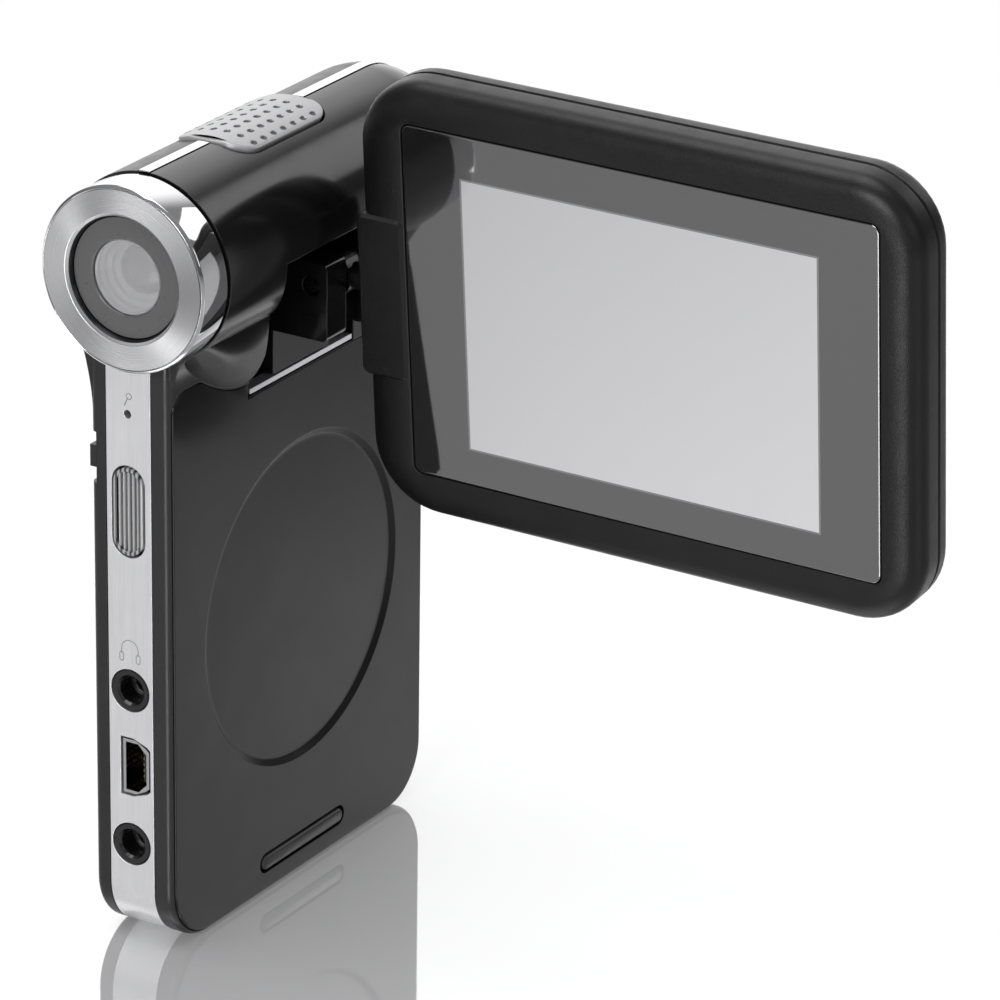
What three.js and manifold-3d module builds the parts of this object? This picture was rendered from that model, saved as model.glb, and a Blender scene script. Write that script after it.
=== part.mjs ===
// Pocket camcorder: a flat upright grip with a lens barrel across its top and a screen on a two-axis hinge.
// Millimetres. +X is the side with the screen, +Y runs from the lens to the back, +Z is up.
// The origin is the middle of the grip's bottom face.
import * as THREE from 'three';
import { mergeVertices } from 'three/addons/utils/BufferGeometryUtils.js';
import Module from 'manifold-3d';

const wasm = await Module();
wasm.setup();

// ---- driving dimensions ----
const GAP = 0.3; // clearance between neighbouring pieces

// grip
const GRIP_T = 12.1; // thickness along X
const GRIP_D = 58.8; // depth along Y
const GRIP_TOP = 80; // the grip's own outline ends inside the barrel housing
const GRIP_R = 8; // round bottom corners
const EDGE_R = 1.2; // rounding of the long edges
const WALL = 1.3;
const FRONT_WALL = 2.6; // thicker, because the strip is let into it
const HX = GRIP_T / 2;
const HY = GRIP_D / 2;

// barrel
const BARREL_X = 2.7;
const BARREL_Z = 92;
const BARREL_R = 12.15;
const BARREL_FRONT = -29.0;
const BARREL_REAR = 28.4;
const DOME_LENGTH = 9; // the back end rounds over along this much of the barrel
const DOME_DROP = 6.5; // and loses this much radius
const SPLIT_X = 2.2; // the two halves meet under the top trim
const SPLIT_LOW_X = 0.8; // and down the grip, below this height
const SPLIT_STEP_Z = 95;

// hinge recess in the right side
const LEDGE_Z = 70.1;
const PLATE_Z = 71.05; // top of the metal plate on the ledge
const RECESS_X = 3.9;
const RECESS_FRONT = -12;
const RECESS_REAR = 12;
const RECESS_LIP_X = 8.2; // beyond this the recess's end walls slant away
const RECESS_ROOF = 91;

// front strip
const STRIP_HALF = 3.3;
const STRIP_X = -0.2;
const STRIP_T = 1.2;
const STRIP_TOP = 79.6;
const PORT_X = -0.3;
const MIC_Z = 72.2;
const LAMP_Z = 59.2;
const AUDIO_Z = 35;
const USB_Z = 24.5;
const AV_Z = 13.8;
const JACK_R = 2.7;
const JACK_BORE = 1.8;

// lens
const RING_R = 12.0;
const RING_HOLE = 8.0;
const RING_FRONT = -34.7;

// screen
const FOLD_X = 11.6;
const AXIS_Z = 84.3; // fold and twist axes cross at this height
const SCREEN_X0 = 17.4;
const SCREEN_L = 78.4;
const SCREEN_H = 58.6;
const SCREEN_T = 8.2;
const SCREEN_R = 9.5;
const SCREEN_TILT = 4.74; // degrees: the open screen leans its top towards the lens side
const GLASS_X0 = 24.4;
const GLASS_Z = 0.42; // the glass sits this much above the twist axis
const GLASS_W = 66;
const GLASS_H = 47.1;
const BLOCK_H = 21.8;

// ---- materials ----
const paint = (color, roughness, metalness = 0) =>
  new THREE.MeshStandardMaterial({ color, roughness, metalness });
const GLOSS_BLACK = paint(0x0d0d0e, 0.22);
const SOFT_BLACK = paint(0x1b1b1c, 0.6);
const SHELL_GREY = paint(0x2a2a2c, 0.45);
const SILVER = paint(0xc9cacc, 0.32, 0.9);
const CHROME = paint(0xdcdde0, 0.12, 1);
const GREY = paint(0x77787a, 0.35);
const RUBBER = paint(0x232323, 0.85);
const GLASS = paint(0x9fa3a6, 0.05);
const LENS_GLASS = paint(0x5a6470, 0.03);
const BOARD = paint(0x1f5a37, 0.6);
const STEEL = paint(0xa8a9ab, 0.3, 1);
const CELL = paint(0x3b4754, 0.5);
const LAMP = paint(0x8f9193, 0.15);

// ---- solids ----
function solid(geometry) {
  const bare = geometry.clone();
  bare.deleteAttribute('normal');
  bare.deleteAttribute('uv');
  const merged = mergeVertices(bare, 1e-4);
  return new wasm.Manifold(new wasm.Mesh({
    numProp: 3,
    vertProperties: new Float32Array(merged.attributes.position.array),
    triVerts: new Uint32Array(merged.index.array),
  }));
}

function box(x0, x1, y0, y1, z0, z1) {
  const geometry = new THREE.BoxGeometry(x1 - x0, y1 - y0, z1 - z0);
  geometry.translate((x0 + x1) / 2, (y0 + y1) / 2, (z0 + z1) / 2);
  return solid(geometry);
}

// a round bar along Y
function barY(x, z, r, y0, y1, sides = 40, rEnd = r) {
  const geometry = new THREE.CylinderGeometry(rEnd, r, y1 - y0, sides);
  geometry.translate(x, (y0 + y1) / 2, 0);
  geometry.translate(0, 0, z);
  return solid(geometry);
}

// a round bar along X
function barX(y, z, r, x0, x1, sides = 32, rEnd = r) {
  const geometry = new THREE.CylinderGeometry(r, rEnd, x1 - x0, sides);
  geometry.rotateZ(Math.PI / 2);
  geometry.translate((x0 + x1) / 2, y, z);
  return solid(geometry);
}

// a round bar along Z
function barZ(x, y, r, z0, z1, sides = 32) {
  const geometry = new THREE.CylinderGeometry(r, r, z1 - z0, sides);
  geometry.rotateX(Math.PI / 2);
  geometry.translate(x, y, (z0 + z1) / 2);
  return solid(geometry);
}

function extruded(shape, depth, bevel, curveSegments) {
  return new THREE.ExtrudeGeometry(shape, {
    depth: depth - 2 * bevel,
    bevelEnabled: bevel > 0,
    bevelThickness: bevel,
    bevelSize: bevel,
    bevelOffset: -bevel,
    bevelSegments: bevel > 1 ? 3 : 1,
    curveSegments,
  }).translate(0, 0, bevel);
}

// an outline drawn in (Y, Z), extruded along X from x0
function plateX(shape, x0, thickness, bevel = 0, curveSegments = 5) {
  const geometry = extruded(shape, thickness, bevel, curveSegments);
  const basis = new THREE.Matrix4().makeBasis(
    new THREE.Vector3(0, 1, 0), new THREE.Vector3(0, 0, 1), new THREE.Vector3(1, 0, 0));
  return solid(geometry.applyMatrix4(basis).translate(x0, 0, 0));
}

// an outline drawn in (X, Z), extruded along Y from y0
function plateY(shape, y0, thickness, bevel = 0, curveSegments = 5) {
  const geometry = extruded(shape, thickness, bevel, curveSegments);
  geometry.rotateX(Math.PI / 2);
  return solid(geometry.translate(0, y0 + thickness, 0));
}

// an outline drawn in (X, Y), extruded along Z from z0
function plateZ(shape, z0, height) {
  return solid(extruded(shape, height, 0, 8).translate(0, 0, z0));
}

// a body of revolution about the barrel's axis, from [radius, y] points
function turned(points, sides = 48) {
  const profile = points.map(([r, y]) => new THREE.Vector2(r, y));
  profile.push(profile[0].clone());
  const geometry = new THREE.LatheGeometry(profile, sides);
  return solid(geometry.translate(BARREL_X, 0, BARREL_Z));
}

function roundRect(x0, x1, y0, y1, r) {
  const shape = new THREE.Shape();
  shape.moveTo(x0 + r, y0);
  shape.lineTo(x1 - r, y0);
  shape.absarc(x1 - r, y0 + r, r, -Math.PI / 2, 0, false);
  shape.lineTo(x1, y1 - r);
  shape.absarc(x1 - r, y1 - r, r, 0, Math.PI / 2, false);
  shape.lineTo(x0 + r, y1);
  shape.absarc(x0 + r, y1 - r, r, Math.PI / 2, Math.PI, false);
  shape.lineTo(x0, y0 + r);
  shape.absarc(x0 + r, y0 + r, r, Math.PI, 1.5 * Math.PI, false);
  return shape;
}

// a closed skin over cross-sections with equal numbers of [x, z] points, each at its own y
function loft(sections) {
  const count = sections[0].points.length;
  const vertices = sections.flatMap(({ y, points }) => points.flatMap(([x, z]) => [x, y, z]));
  const faces = [];
  for (let s = 0; s + 1 < sections.length; s += 1) {
    for (let i = 0; i < count; i += 1) {
      const a = s * count + i;
      const b = s * count + (i + 1) % count;
      faces.push(a, b, a + count, b, b + count, a + count);
    }
  }
  const last = (sections.length - 1) * count;
  const rim = sections[0].points.map(([x, z]) => new THREE.Vector2(x, z));
  for (const [a, b, c] of THREE.ShapeUtils.triangulateShape(rim, [])) {
    const [p, q] = THREE.ShapeUtils.isClockWise([rim[a], rim[b], rim[c]]) ? [b, c] : [c, b];
    faces.push(a, q, p, last + a, last + p, last + q);
  }
  const geometry = new THREE.BufferGeometry();
  geometry.setAttribute('position', new THREE.Float32BufferAttribute(vertices, 3));
  geometry.setIndex(faces);
  return solid(geometry);
}

const model = new THREE.Group();

function add(name, shape, material, parent = model) {
  const mesh = shape.getMesh();
  const geometry = new THREE.BufferGeometry();
  geometry.setAttribute('position', new THREE.BufferAttribute(new Float32Array(mesh.vertProperties), 3));
  geometry.setIndex(new THREE.BufferAttribute(new Uint32Array(mesh.triVerts), 1));
  geometry.computeVertexNormals();
  const piece = new THREE.Mesh(geometry, material);
  piece.name = name;
  parent.add(piece);
  return piece;
}

// ---- casing ----
// the grip's side outline in (Y, Z)
function gripOutline(inset, top) {
  const r = GRIP_R - inset;
  const y = HY - inset;
  const shape = new THREE.Shape();
  shape.moveTo(-y + r, inset);
  shape.lineTo(y - r, inset);
  shape.absarc(y - r, inset + r, r, -Math.PI / 2, 0, false);
  shape.lineTo(y, top - r);
  shape.absarc(y - r, top - r, r, 0, Math.PI / 2, false);
  shape.lineTo(-y, top);
  shape.lineTo(-y, inset + r);
  shape.absarc(-y + r, inset + r, r, Math.PI, 1.5 * Math.PI, false);
  return shape;
}

// the housing's cross-section in (X, Z): the barrel's circle, run into the grip on both sides
function housingOutline() {
  const joinAngle = -1.02;
  const jx = BARREL_X + BARREL_R * Math.cos(joinAngle);
  const jz = BARREL_Z + BARREL_R * Math.sin(joinAngle);
  const left = BARREL_X - BARREL_R;
  const shape = new THREE.Shape();
  shape.moveTo(HX, 70);
  shape.lineTo(HX, 76);
  shape.bezierCurveTo(HX, 79.4, jx - 1.4, jz - 0.9, jx, jz);
  shape.absarc(BARREL_X, BARREL_Z, BARREL_R, joinAngle, Math.PI, false);
  shape.bezierCurveTo(left, 83, -HX, 78, -HX, 70);
  return shape;
}

// the housing runs along Y at full size and closes in a quarter round at the back
function housing() {
  const outline = housingOutline().getPoints(18);
  const front = FRONT_ROUNDING.map(([back, inset]) => ({
    y: BARREL_FRONT + back,
    points: outline.map((p) => [p.x - Math.sign(p.x) * inset * lowness(p.y), p.y]).reverse(),
  }));
  const back = [0, 1, 2, 3, 4, 5].map((i) => {
    const a = (i * Math.PI) / 10;
    const drop = (DOME_DROP / BARREL_R) * (1 - Math.cos(a));
    const points = outline.map((p) => {
      const k = 1 - drop * (1 - lowness(p.y));
      return [BARREL_X + k * (p.x - BARREL_X), BARREL_Z + k * (p.y - BARREL_Z)];
    });
    return { y: BARREL_REAR - DOME_LENGTH * (1 - Math.sin(a)), points: points.reverse() };
  });
  return loft([...front, ...back]);
}

// the housing's flanks follow the grip's rounded front edge: [distance back, inset]
const FRONT_ROUNDING = [[0, 0.45], [0.3, 0.15], [0.8, 0]];
const lowness = (z) => THREE.MathUtils.clamp((84 - z) / 6, 0, 1);

// the rounded cheek under the barrel, between the lens ring and the hinge recess
function cheek(grow) {
  const sections = [0, 0.3, 0.6, 1].map((t) => {
    const drop = Math.sin((t * Math.PI) / 2);
    const points = [];
    for (let i = 0; i < 24; i += 1) {
      const a = (-2 * Math.PI * i) / 24;
      points.push([3.5 + (6.5 + grow) * Math.cos(a), 84.1 + (4.6 + 8.3 * drop + grow) * Math.sin(a)]);
    }
    return { y: BARREL_FRONT + 0.7 + 15.9 * t, points };
  });
  return loft(sections);
}

function recess() {
  const reach = BARREL_X + BARREL_R + 2;
  const plan = new THREE.Shape();
  plan.moveTo(RECESS_X, RECESS_FRONT);
  plan.lineTo(RECESS_LIP_X, RECESS_FRONT);
  plan.lineTo(reach, RECESS_FRONT - 6);
  plan.lineTo(reach, RECESS_REAR + 6);
  plan.lineTo(RECESS_LIP_X, RECESS_REAR);
  plan.lineTo(RECESS_X, RECESS_REAR);
  return plateZ(plan, LEDGE_Z, RECESS_ROOF - LEDGE_Z);
}

function casingOutside() {
  const grip = plateX(gripOutline(0, GRIP_TOP), -HX, GRIP_T, EDGE_R, 7);
  return grip.add(housing()).add(cheek(0)).subtract(recess());
}

const ROOM_INSET = 2; // wall thickness around the grip's outline

function casingInside() {
  const grip = plateX(gripOutline(ROOM_INSET, 76), -HX + WALL, 2 * HX - WALL - 2.2, 0, 9)
    .intersect(box(-20, 20, -HY + FRONT_WALL, 40, 0, 90))
    .add(box(-HX + WALL, HX - 2.2, -HY + FRONT_WALL, BARREL_REAR - DOME_LENGTH, 60, 86));
  const barrel = barY(BARREL_X, BARREL_Z, BARREL_R - WALL, BARREL_FRONT - 1, BARREL_REAR - DOME_LENGTH, 40);
  const aroundRecess = box(RECESS_X - WALL, 20, RECESS_FRONT - WALL, RECESS_REAR + WALL,
    LEDGE_Z - WALL, RECESS_ROOF + WALL);
  return grip.add(barrel).subtract(aroundRecess);
}

const stadium = (cy, cz, width, height) =>
  roundRect(cy - width / 2, cy + width / 2, cz - height / 2, cz + height / 2,
    Math.min(width, height) / 2 - 0.06);

const usbOutline = (grow) => {
  const shape = new THREE.Shape();
  const x0 = 0.4 - 1.95 - grow;
  const x1 = 0.4 + 1.95 + grow;
  const half = 3.7 + grow;
  shape.moveTo(x0, USB_Z - half);
  shape.lineTo(x0 + 1.9, USB_Z - half);
  shape.lineTo(x1 - 0.5, USB_Z - half + 0.75);
  shape.lineTo(x1, USB_Z - half + 1.2);
  shape.lineTo(x1, USB_Z + half - 1.2);
  shape.lineTo(x1 - 0.5, USB_Z + half - 0.75);
  shape.lineTo(x0 + 1.9, USB_Z + half);
  shape.lineTo(x0, USB_Z + half);
  return shape;
};

// everything that passes through the front wall and the strip
function frontOpenings() {
  const y0 = -HY - 1;
  const depth = FRONT_WALL + 2;
  return barY(PORT_X, AUDIO_Z, JACK_R + 0.2, y0, y0 + depth, 28)
    .add(barY(PORT_X, AV_Z, JACK_R + 0.2, y0, y0 + depth, 28))
    .add(plateY(usbOutline(0.3), y0, depth))
    .add(plateY(stadium(PORT_X, LAMP_Z, 5.0, 12.3), y0, depth))
    .add(barY(PORT_X, MIC_Z, 0.55, y0, y0 + depth, 20));
}

function stripSolid(grow) {
  const half = STRIP_HALF + grow;
  const outer = plateX(gripOutline(0, STRIP_TOP + GRIP_R), STRIP_X - half, 2 * half, 0, 9);
  const inner = plateX(gripOutline(STRIP_T + grow, 120), -10, 20, 0, 9);
  const keep = box(-10, 10, -HY - 1, -9 + grow, -1, STRIP_TOP + grow);
  return outer.subtract(inner).intersect(keep);
}

// outline of the broad side panel in (Y, Z)
function panelOutline(inset) {
  const y = HY - 0.5 - inset;
  const low = 0.5 + inset;
  const r = GRIP_R - 0.5 - inset;
  const high = 75.6 - inset;
  const step = LEDGE_Z - 0.05 - inset;
  const shape = new THREE.Shape();
  shape.moveTo(-y + r, low);
  shape.lineTo(y - r, low);
  shape.absarc(y - r, low + r, r, -Math.PI / 2, 0, false);
  shape.lineTo(y, step);
  shape.lineTo(RECESS_FRONT - inset, step);
  shape.lineTo(RECESS_FRONT - inset, high);
  shape.lineTo(-y + 2.5, high);
  shape.absarc(-y + 2.5, high - 2.5, 2.5, Math.PI / 2, Math.PI, false);
  shape.lineTo(-y, low + r);
  shape.absarc(-y + r, low + r, r, Math.PI, 1.5 * Math.PI, false);
  return shape;
}

const DISC_Y = 0.2;
const DISC_Z = 38.6;
const SLOT_Z = 4.3;
const PANEL_T = 1.0;

function sidePanel() {
  const plate = plateX(panelOutline(0.12), HX - PANEL_T, PANEL_T, 0, 8);
  const dish = barX(DISC_Y, DISC_Z, 20.7, HX - 0.45, HX + 0.05, 48, 22.1);
  const slot = plateX(stadium(0.3, SLOT_Z, 19.8, 2.7), HX - 3, 5);
  return plate.subtract(dish).subtract(slot).subtract(cheek(GAP));
}

const DOOR_FRONT = -9.5;
const DOOR_LOW = 10;
const DOOR_HIGH = 60;
const DOOR_T = 1.1;

const doorOutline = (grow) => roundRect(DOOR_FRONT - grow, HY + 4, DOOR_LOW - grow, DOOR_HIGH + grow, 2);

const SCREW_SPOTS = [[-24.5, 8], [-24.5, 40.3], [-17.5, 70], [22.5, 68]];
const BUTTONS = [['power_button', 66], ['menu_button', 24], ['up_button', 46], ['down_button', 36]];

function rearButtonOpenings() {
  return BUTTONS.map(([, z]) => plateY(roundRect(-2.7, 2.7, z - 3.1, z + 3.1, 2), HY - 3, 4, 0, 3))
    .reduce((all, one) => all.add(one));
}

function rockerSector(inner, outer, grow) {
  const from = Math.PI / 2 - THREE.MathUtils.degToRad(25) - grow / BARREL_R;
  const to = Math.PI / 2 + THREE.MathUtils.degToRad(30) + grow / BARREL_R;
  const shape = new THREE.Shape();
  shape.absarc(BARREL_X, BARREL_Z, outer, from, to, false);
  shape.absarc(BARREL_X, BARREL_Z, inner, to, from, true);
  return shape;
}

const ROCKER_Y0 = -15.5;
const ROCKER_Y1 = 4.4;

// plan view of the rocker in (X, Y): a pad with round corners
const rockerPlan = (grow) =>
  roundRect(-4.2 - grow, 8.6 + grow, ROCKER_Y0 - grow, ROCKER_Y1 + grow, 4 + grow);

function rocker() {
  const pad = plateY(rockerSector(11.3, 12.75, 0), ROCKER_Y0, ROCKER_Y1 - ROCKER_Y0, 0, 12)
    .intersect(plateZ(rockerPlan(0), 80, 40));
  return pad.add(barZ(BARREL_X - 0.5, -5.5, 1.5, 99.5, 104));
}

function rockerOpening() {
  return plateY(rockerSector(9, 14, 1), ROCKER_Y0 - 0.4, ROCKER_Y1 - ROCKER_Y0 + 0.8, 0, 12)
    .intersect(plateZ(rockerPlan(0.4), 80, 40));
}

function trimSector(inner, outer, halfWidth) {
  const middle = Math.PI / 2 + THREE.MathUtils.degToRad(2.5);
  const half = halfWidth / BARREL_R;
  const shape = new THREE.Shape();
  shape.absarc(BARREL_X, BARREL_Z, outer, middle - half, middle + half, false);
  shape.absarc(BARREL_X, BARREL_Z, inner, middle + half, middle - half, true);
  return shape;
}

const trim = (y0, y1, inner = 11.65, half = 0.85, outer = 12.3) =>
  plateY(trimSector(inner, outer, half), y0, y1 - y0, 0, 4);

const SPEAKER_HOLES = [-1.5, -0.5, 0.5, 1.5];
const SPEAKER_Y = -20.5;
const SPEAKER_Z = 46.5;

function speakerGrille() {
  const holes = [];
  for (const row of [-1, 0, 1]) {
    for (const column of SPEAKER_HOLES) {
      holes.push(barX(SPEAKER_Y + column * 1.8, SPEAKER_Z + row * 1.8, 0.5, -HX - 1, -HX + 2, 6));
    }
  }
  return holes.reduce((all, one) => all.add(one));
}

function screwHoles() {
  const hole = ([y, z]) => barX(y, z, 1.6, -HX - 1, -HX + 0.8, 16).add(barX(y, z, 0.95, -HX, 1, 10));
  return SCREW_SPOTS.map(hole)
    .reduce((all, one) => all.add(one));
}

// macro slide: a small knob on the left front edge that runs in a short slot
const MACRO_Z = 65.4;
const macroSlot = () => box(-HX - 1, -HX + 1.0, -HY - 1, -26.4, MACRO_Z - 3.4, MACRO_Z + 3.4);

const leftRegion = () => box(-30, SPLIT_LOW_X - GAP / 2, -60, 60, -5, 120)
  .add(box(-30, SPLIT_X - GAP / 2, -60, 60, SPLIT_STEP_Z + GAP / 2, 120));
const rightRegion = () => box(SPLIT_LOW_X + GAP / 2, 30, -60, 60, -5, SPLIT_STEP_Z - GAP / 2)
  .add(box(SPLIT_X + GAP / 2, 30, -60, 60, -5, 120));

function casing() {
  return casingOutside()
    .subtract(casingInside())
    .subtract(stripSolid(0.15))
    .subtract(frontOpenings())
    .subtract(rearButtonOpenings())
    .subtract(rockerOpening())
    .subtract(trim(BARREL_FRONT - 1, BARREL_REAR - DOME_LENGTH, 11.4, 1.05, 14))
    .subtract(barY(BARREL_X, BARREL_Z, 4.4, 15, 32))
    .subtract(barZ(0, 12, 3.5, -1, 6.2));
}

function buildCasing() {
  const shell = casing();
  const left = shell.intersect(leftRegion())
    .subtract(plateX(doorOutline(0.2), -HX - 1, 1 + DOOR_T + 0.2))
    .subtract(box(-HX - 1, -HX + 1.6, DOOR_FRONT + 2, HY - 3, DOOR_LOW + 2, DOOR_HIGH - 2))
    .subtract(speakerGrille())
    .subtract(screwHoles())
    .subtract(macroSlot());
  const right = shell.intersect(rightRegion())
    .subtract(plateX(panelOutline(-0.05), HX - PANEL_T - 0.15, 3).subtract(cheek(0)));
  add('left_shell', left, SHELL_GREY);
  add('right_shell', right, GLOSS_BLACK);
  add('side_panel', sidePanel(), GLOSS_BLACK);
  add('rest_pad', plateX(stadium(0.3, SLOT_Z, 18.9, 1.9), HX - PANEL_T + 0.1, 1.2, 0.3), RUBBER);
  const strip = stripSolid(0).subtract(frontOpenings());
  add('front_strip', strip, SILVER);
  add('battery_door', batteryDoor(), SHELL_GREY);
  SCREW_SPOTS.forEach(([y, z], i) => add(`shell_screw_${i + 1}`, sideScrew(y, z), STEEL));
  add('tripod_bush', barZ(0, 12, 3.3, 0.15, 6, 28).subtract(barZ(0, 12, 2.5, -1, 5, 24)), STEEL);
}

function batteryDoor() {
  const plate = plateX(doorOutline(0), -HX, DOOR_T, 0, 8)
    .intersect(plateX(gripOutline(0, GRIP_TOP), -HX, GRIP_T, EDGE_R, 7));
  const ribs = [0, 1, 2, 3].map((i) => box(-HX - 1, -HX + 0.35, 6, 16, 52 + 1.6 * i, 52.8 + 1.6 * i));
  return ribs.reduce((all, one) => all.subtract(one), plate);
}

function sideScrew(y, z) {
  const head = barX(y, z, 1.4, -HX + 0.05, -HX + 0.7, 16);
  const shank = barX(y, z, 0.75, -HX + 0.6, -1, 10);
  const slotA = box(-HX - 1, -HX + 0.4, y - 0.9, y + 0.9, z - 0.18, z + 0.18);
  const slotB = box(-HX - 1, -HX + 0.4, y - 0.18, y + 0.18, z - 0.9, z + 0.9);
  return head.add(shank).subtract(slotA).subtract(slotB);
}

// ---- front strip's ports, lamp and microphone ----
function jack(z) {
  const nose = barY(PORT_X, z, JACK_R, -HY + 0.05, -HY + 3.2, 28);
  const body = box(PORT_X - 2.3, PORT_X + 2.1, -HY + FRONT_WALL + 0.3, -HY + 13, z - 3, z + 3);
  return nose.add(body).subtract(barY(PORT_X, z, JACK_BORE, -HY - 1, -HY + 12, 24))
    .subtract(barY(PORT_X, z, 2.15, -HY - 0.05, -HY + 0.4, 24, JACK_BORE));
}

function buildPorts() {
  add('audio_jack', jack(AUDIO_Z), GLOSS_BLACK);
  add('av_jack', jack(AV_Z), GLOSS_BLACK);
  const outer = plateY(usbOutline(0), -HY + 0.15, 9);
  const inner = plateY(usbOutline(-0.4), -HY - 1, 9.4);
  add('usb_shell', outer.subtract(inner), STEEL);
  add('usb_tongue', box(0.9, 1.6, -HY + 1.2, -HY + 8.0, USB_Z - 2.2, USB_Z + 2.2), GLOSS_BLACK);
  add('microphone', barY(PORT_X, MIC_Z, 2.0, -HY + FRONT_WALL + 0.3, -HY + 5, 28), STEEL);
  add('lamp_window', lampWindow(), LAMP);
  [-3, 3].forEach((dz, i) => {
    const led = box(PORT_X - 1.4, PORT_X + 1.4, -HY + 3.2, -HY + 4.4, LAMP_Z + dz - 1.4, LAMP_Z + dz + 1.4);
    add(`lamp_led_${i + 1}`, led, GREY);
  });
}

function lampWindow() {
  const plate = plateY(stadium(PORT_X, LAMP_Z, 4.5, 11.8), -HY - 0.15, 2.6, 0.3);
  const flutes = [-1.2, -0.4, 0.4, 1.2].map((dx) =>
    barZ(PORT_X + dx, -HY - 0.3, 0.28, LAMP_Z - 4.4, LAMP_Z + 4.4, 6));
  return flutes.reduce((all, one) => all.subtract(one), plate);
}

// ---- lens ----
function buildLens() {
  const back = BARREL_FRONT - GAP;
  add('lens_ring', turned([[RING_HOLE, RING_FRONT + 0.3], [RING_HOLE + 0.4, RING_FRONT],
    [RING_R - 0.6, RING_FRONT], [RING_R, RING_FRONT + 0.6], [RING_R, back], [10.5, back],
    [10.5, BARREL_FRONT + 3], [9.2, BARREL_FRONT + 3], [9.2, -31.5], [RING_HOLE, -31.5]], 52), CHROME);
  add('lens_plate', turned([[4.95, -33.7], [7.7, -33.7], [7.7, -32.9], [4.95, -32.9]], 40), GREY);
  add('lens_window', barY(BARREL_X, BARREL_Z, 4.7, -33.65, -33.0, 40), GLASS);
  add('lens_tube', turned([[5.0, -32.5], [7.7, -32.5], [7.7, -31.2], [8.8, -31.2], [8.8, -22], [6.5, -22],
    [6.5, -16], [4.2, -16], [4.2, -29.5], [5.0, -29.5]], 36), GLOSS_BLACK);
  add('front_element', turned([[0, -31.7], [2.2, -31.4], [4.2, -30.6], [4.7, -30.3], [4.7, -29.8],
    [0, -29.8]], 28), LENS_GLASS);
  add('rear_element', turned([[0, -22.4], [2, -22.2], [3.9, -21.4], [3.9, -20.6], [0, -20.6]], 24),
    LENS_GLASS);
  const sensor = box(BARREL_X - 3.2, BARREL_X + 3.2, -15.7, -14.9, BARREL_Z - 2.6, BARREL_Z + 2.6);
  add('image_sensor', sensor, CELL);
  add('sensor_board', box(BARREL_X - 7, BARREL_X + 7, -14.6, -13.6, BARREL_Z - 5, BARREL_Z + 6), BOARD);
}

// ---- top controls and trim ----
function dimples() {
  const marks = [];
  for (let row = 0; row < 6; row += 1) {
    const angle = THREE.MathUtils.degToRad(20 - 9 * row);
    const x = BARREL_X + 12.9 * Math.sin(angle);
    const z = BARREL_Z + 12.9 * Math.cos(angle);
    for (let column = 0; column < 7; column += 1) {
      const dot = new THREE.CylinderGeometry(0.42, 0.42, 0.8, 5).rotateX(Math.PI / 2);
      dot.rotateY(angle).translate(x, -12.2 + 2.2 * column, z);
      marks.push(solid(dot));
    }
  }
  return marks.reduce((all, one) => all.add(one));
}

function buildTop() {
  add('trim_front', trim(BARREL_FRONT + 0.1, ROCKER_Y0 - 0.5), SILVER);
  add('trim_rear', trim(ROCKER_Y1 + 0.5, BARREL_REAR - DOME_LENGTH - 0.3), SILVER);
  add('zoom_rocker', rocker().subtract(dimples()), SILVER);
  const record = turned([[0, 23], [3, 23], [3, 25.8], [4.1, 25.8], [4.1, 28.7], [3.4, 29.3], [0, 29.3]], 36);
  add('record_button', record, SILVER);
}

// ---- back and side controls ----
function rearButton(z) {
  const cap = plateY(roundRect(-2.4, 2.4, z - 2.8, z + 2.8, 1.7), HY - 1.0, 1.6, 0.3, 3);
  return cap.add(box(-1.2, 1.2, HY - 2.6, HY - 0.6, z - 1.2, z + 1.2));
}

function buildControls() {
  BUTTONS.forEach(([name, z]) => add(name, rearButton(z), SOFT_BLACK));
  const knob = box(-HX - 0.2, -HX + 0.7, -HY + 0.4, -26.7, MACRO_Z - 1.45, MACRO_Z + 1.45);
  add('macro_slide', knob, SOFT_BLACK);
}

// ---- inside the grip ----
function buildInside() {
  add('battery', plateX(roundRect(-8, 24, 6.8, 57, 1.5), -4.5, 5.6, 0.5, 4), CELL);
  add('main_board', box(2.65, 3.55, -25.5, 26.5, 6.6, 67), BOARD);
  const socket = box(-3.4, 1.4, -15.5, -9, 44, 66).subtract(box(-2.6, -0.2, -16, -8, 43, 64.5));
  add('card_socket', socket, STEEL);
  add('memory_card', box(-2.2, -0.6, -15.2, -9.3, 43.2, 64), RUBBER);
  const speakerBowl = barX(SPEAKER_Y, SPEAKER_Z, 3.6, -5, -4, 28);
  add('speaker', barX(SPEAKER_Y, SPEAKER_Z, 4.4, -4.5, -2.2, 32).subtract(speakerBowl), STEEL);
}

// ---- hinge ----
// Body side: two ears on a foot that stands on the ledge. They carry the fold pin along Y.
const EAR_X1 = 14;
const EAR_Y = 6.4;
const SLOT_HALF = 2.1;

function hingeBase() {
  const side = roundRect(RECESS_X + 0.3, EAR_X1, 77.2, 87.4, 0.8);
  const ears = plateY(side, -EAR_Y, 2 * EAR_Y, 0, 6);
  const foot = box(RECESS_X + 0.3, HX - 0.1, -EAR_Y, EAR_Y, PLATE_Z + 0.3, 78);
  const slot = box(HX + 0.4, 20, -SLOT_HALF, SLOT_HALF, 70, 95);
  return ears.add(foot).subtract(slot).subtract(barY(FOLD_X, AXIS_Z, 1.3, -10, 10, 24));
}

function hingeArm() {
  const knuckle = barY(FOLD_X, AXIS_Z, 2.9, -SLOT_HALF + 0.3, SLOT_HALF - 0.3, 36)
    .subtract(barY(FOLD_X, AXIS_Z, 1.3, -10, 10, 24));
  const neck = barX(0, AXIS_Z, 1.75, FOLD_X + 2.2, 22.6, 28);
  return knuckle.add(neck).subtract(barY(FOLD_X, AXIS_Z, 1.3, -10, 10, 24));
}

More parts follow.
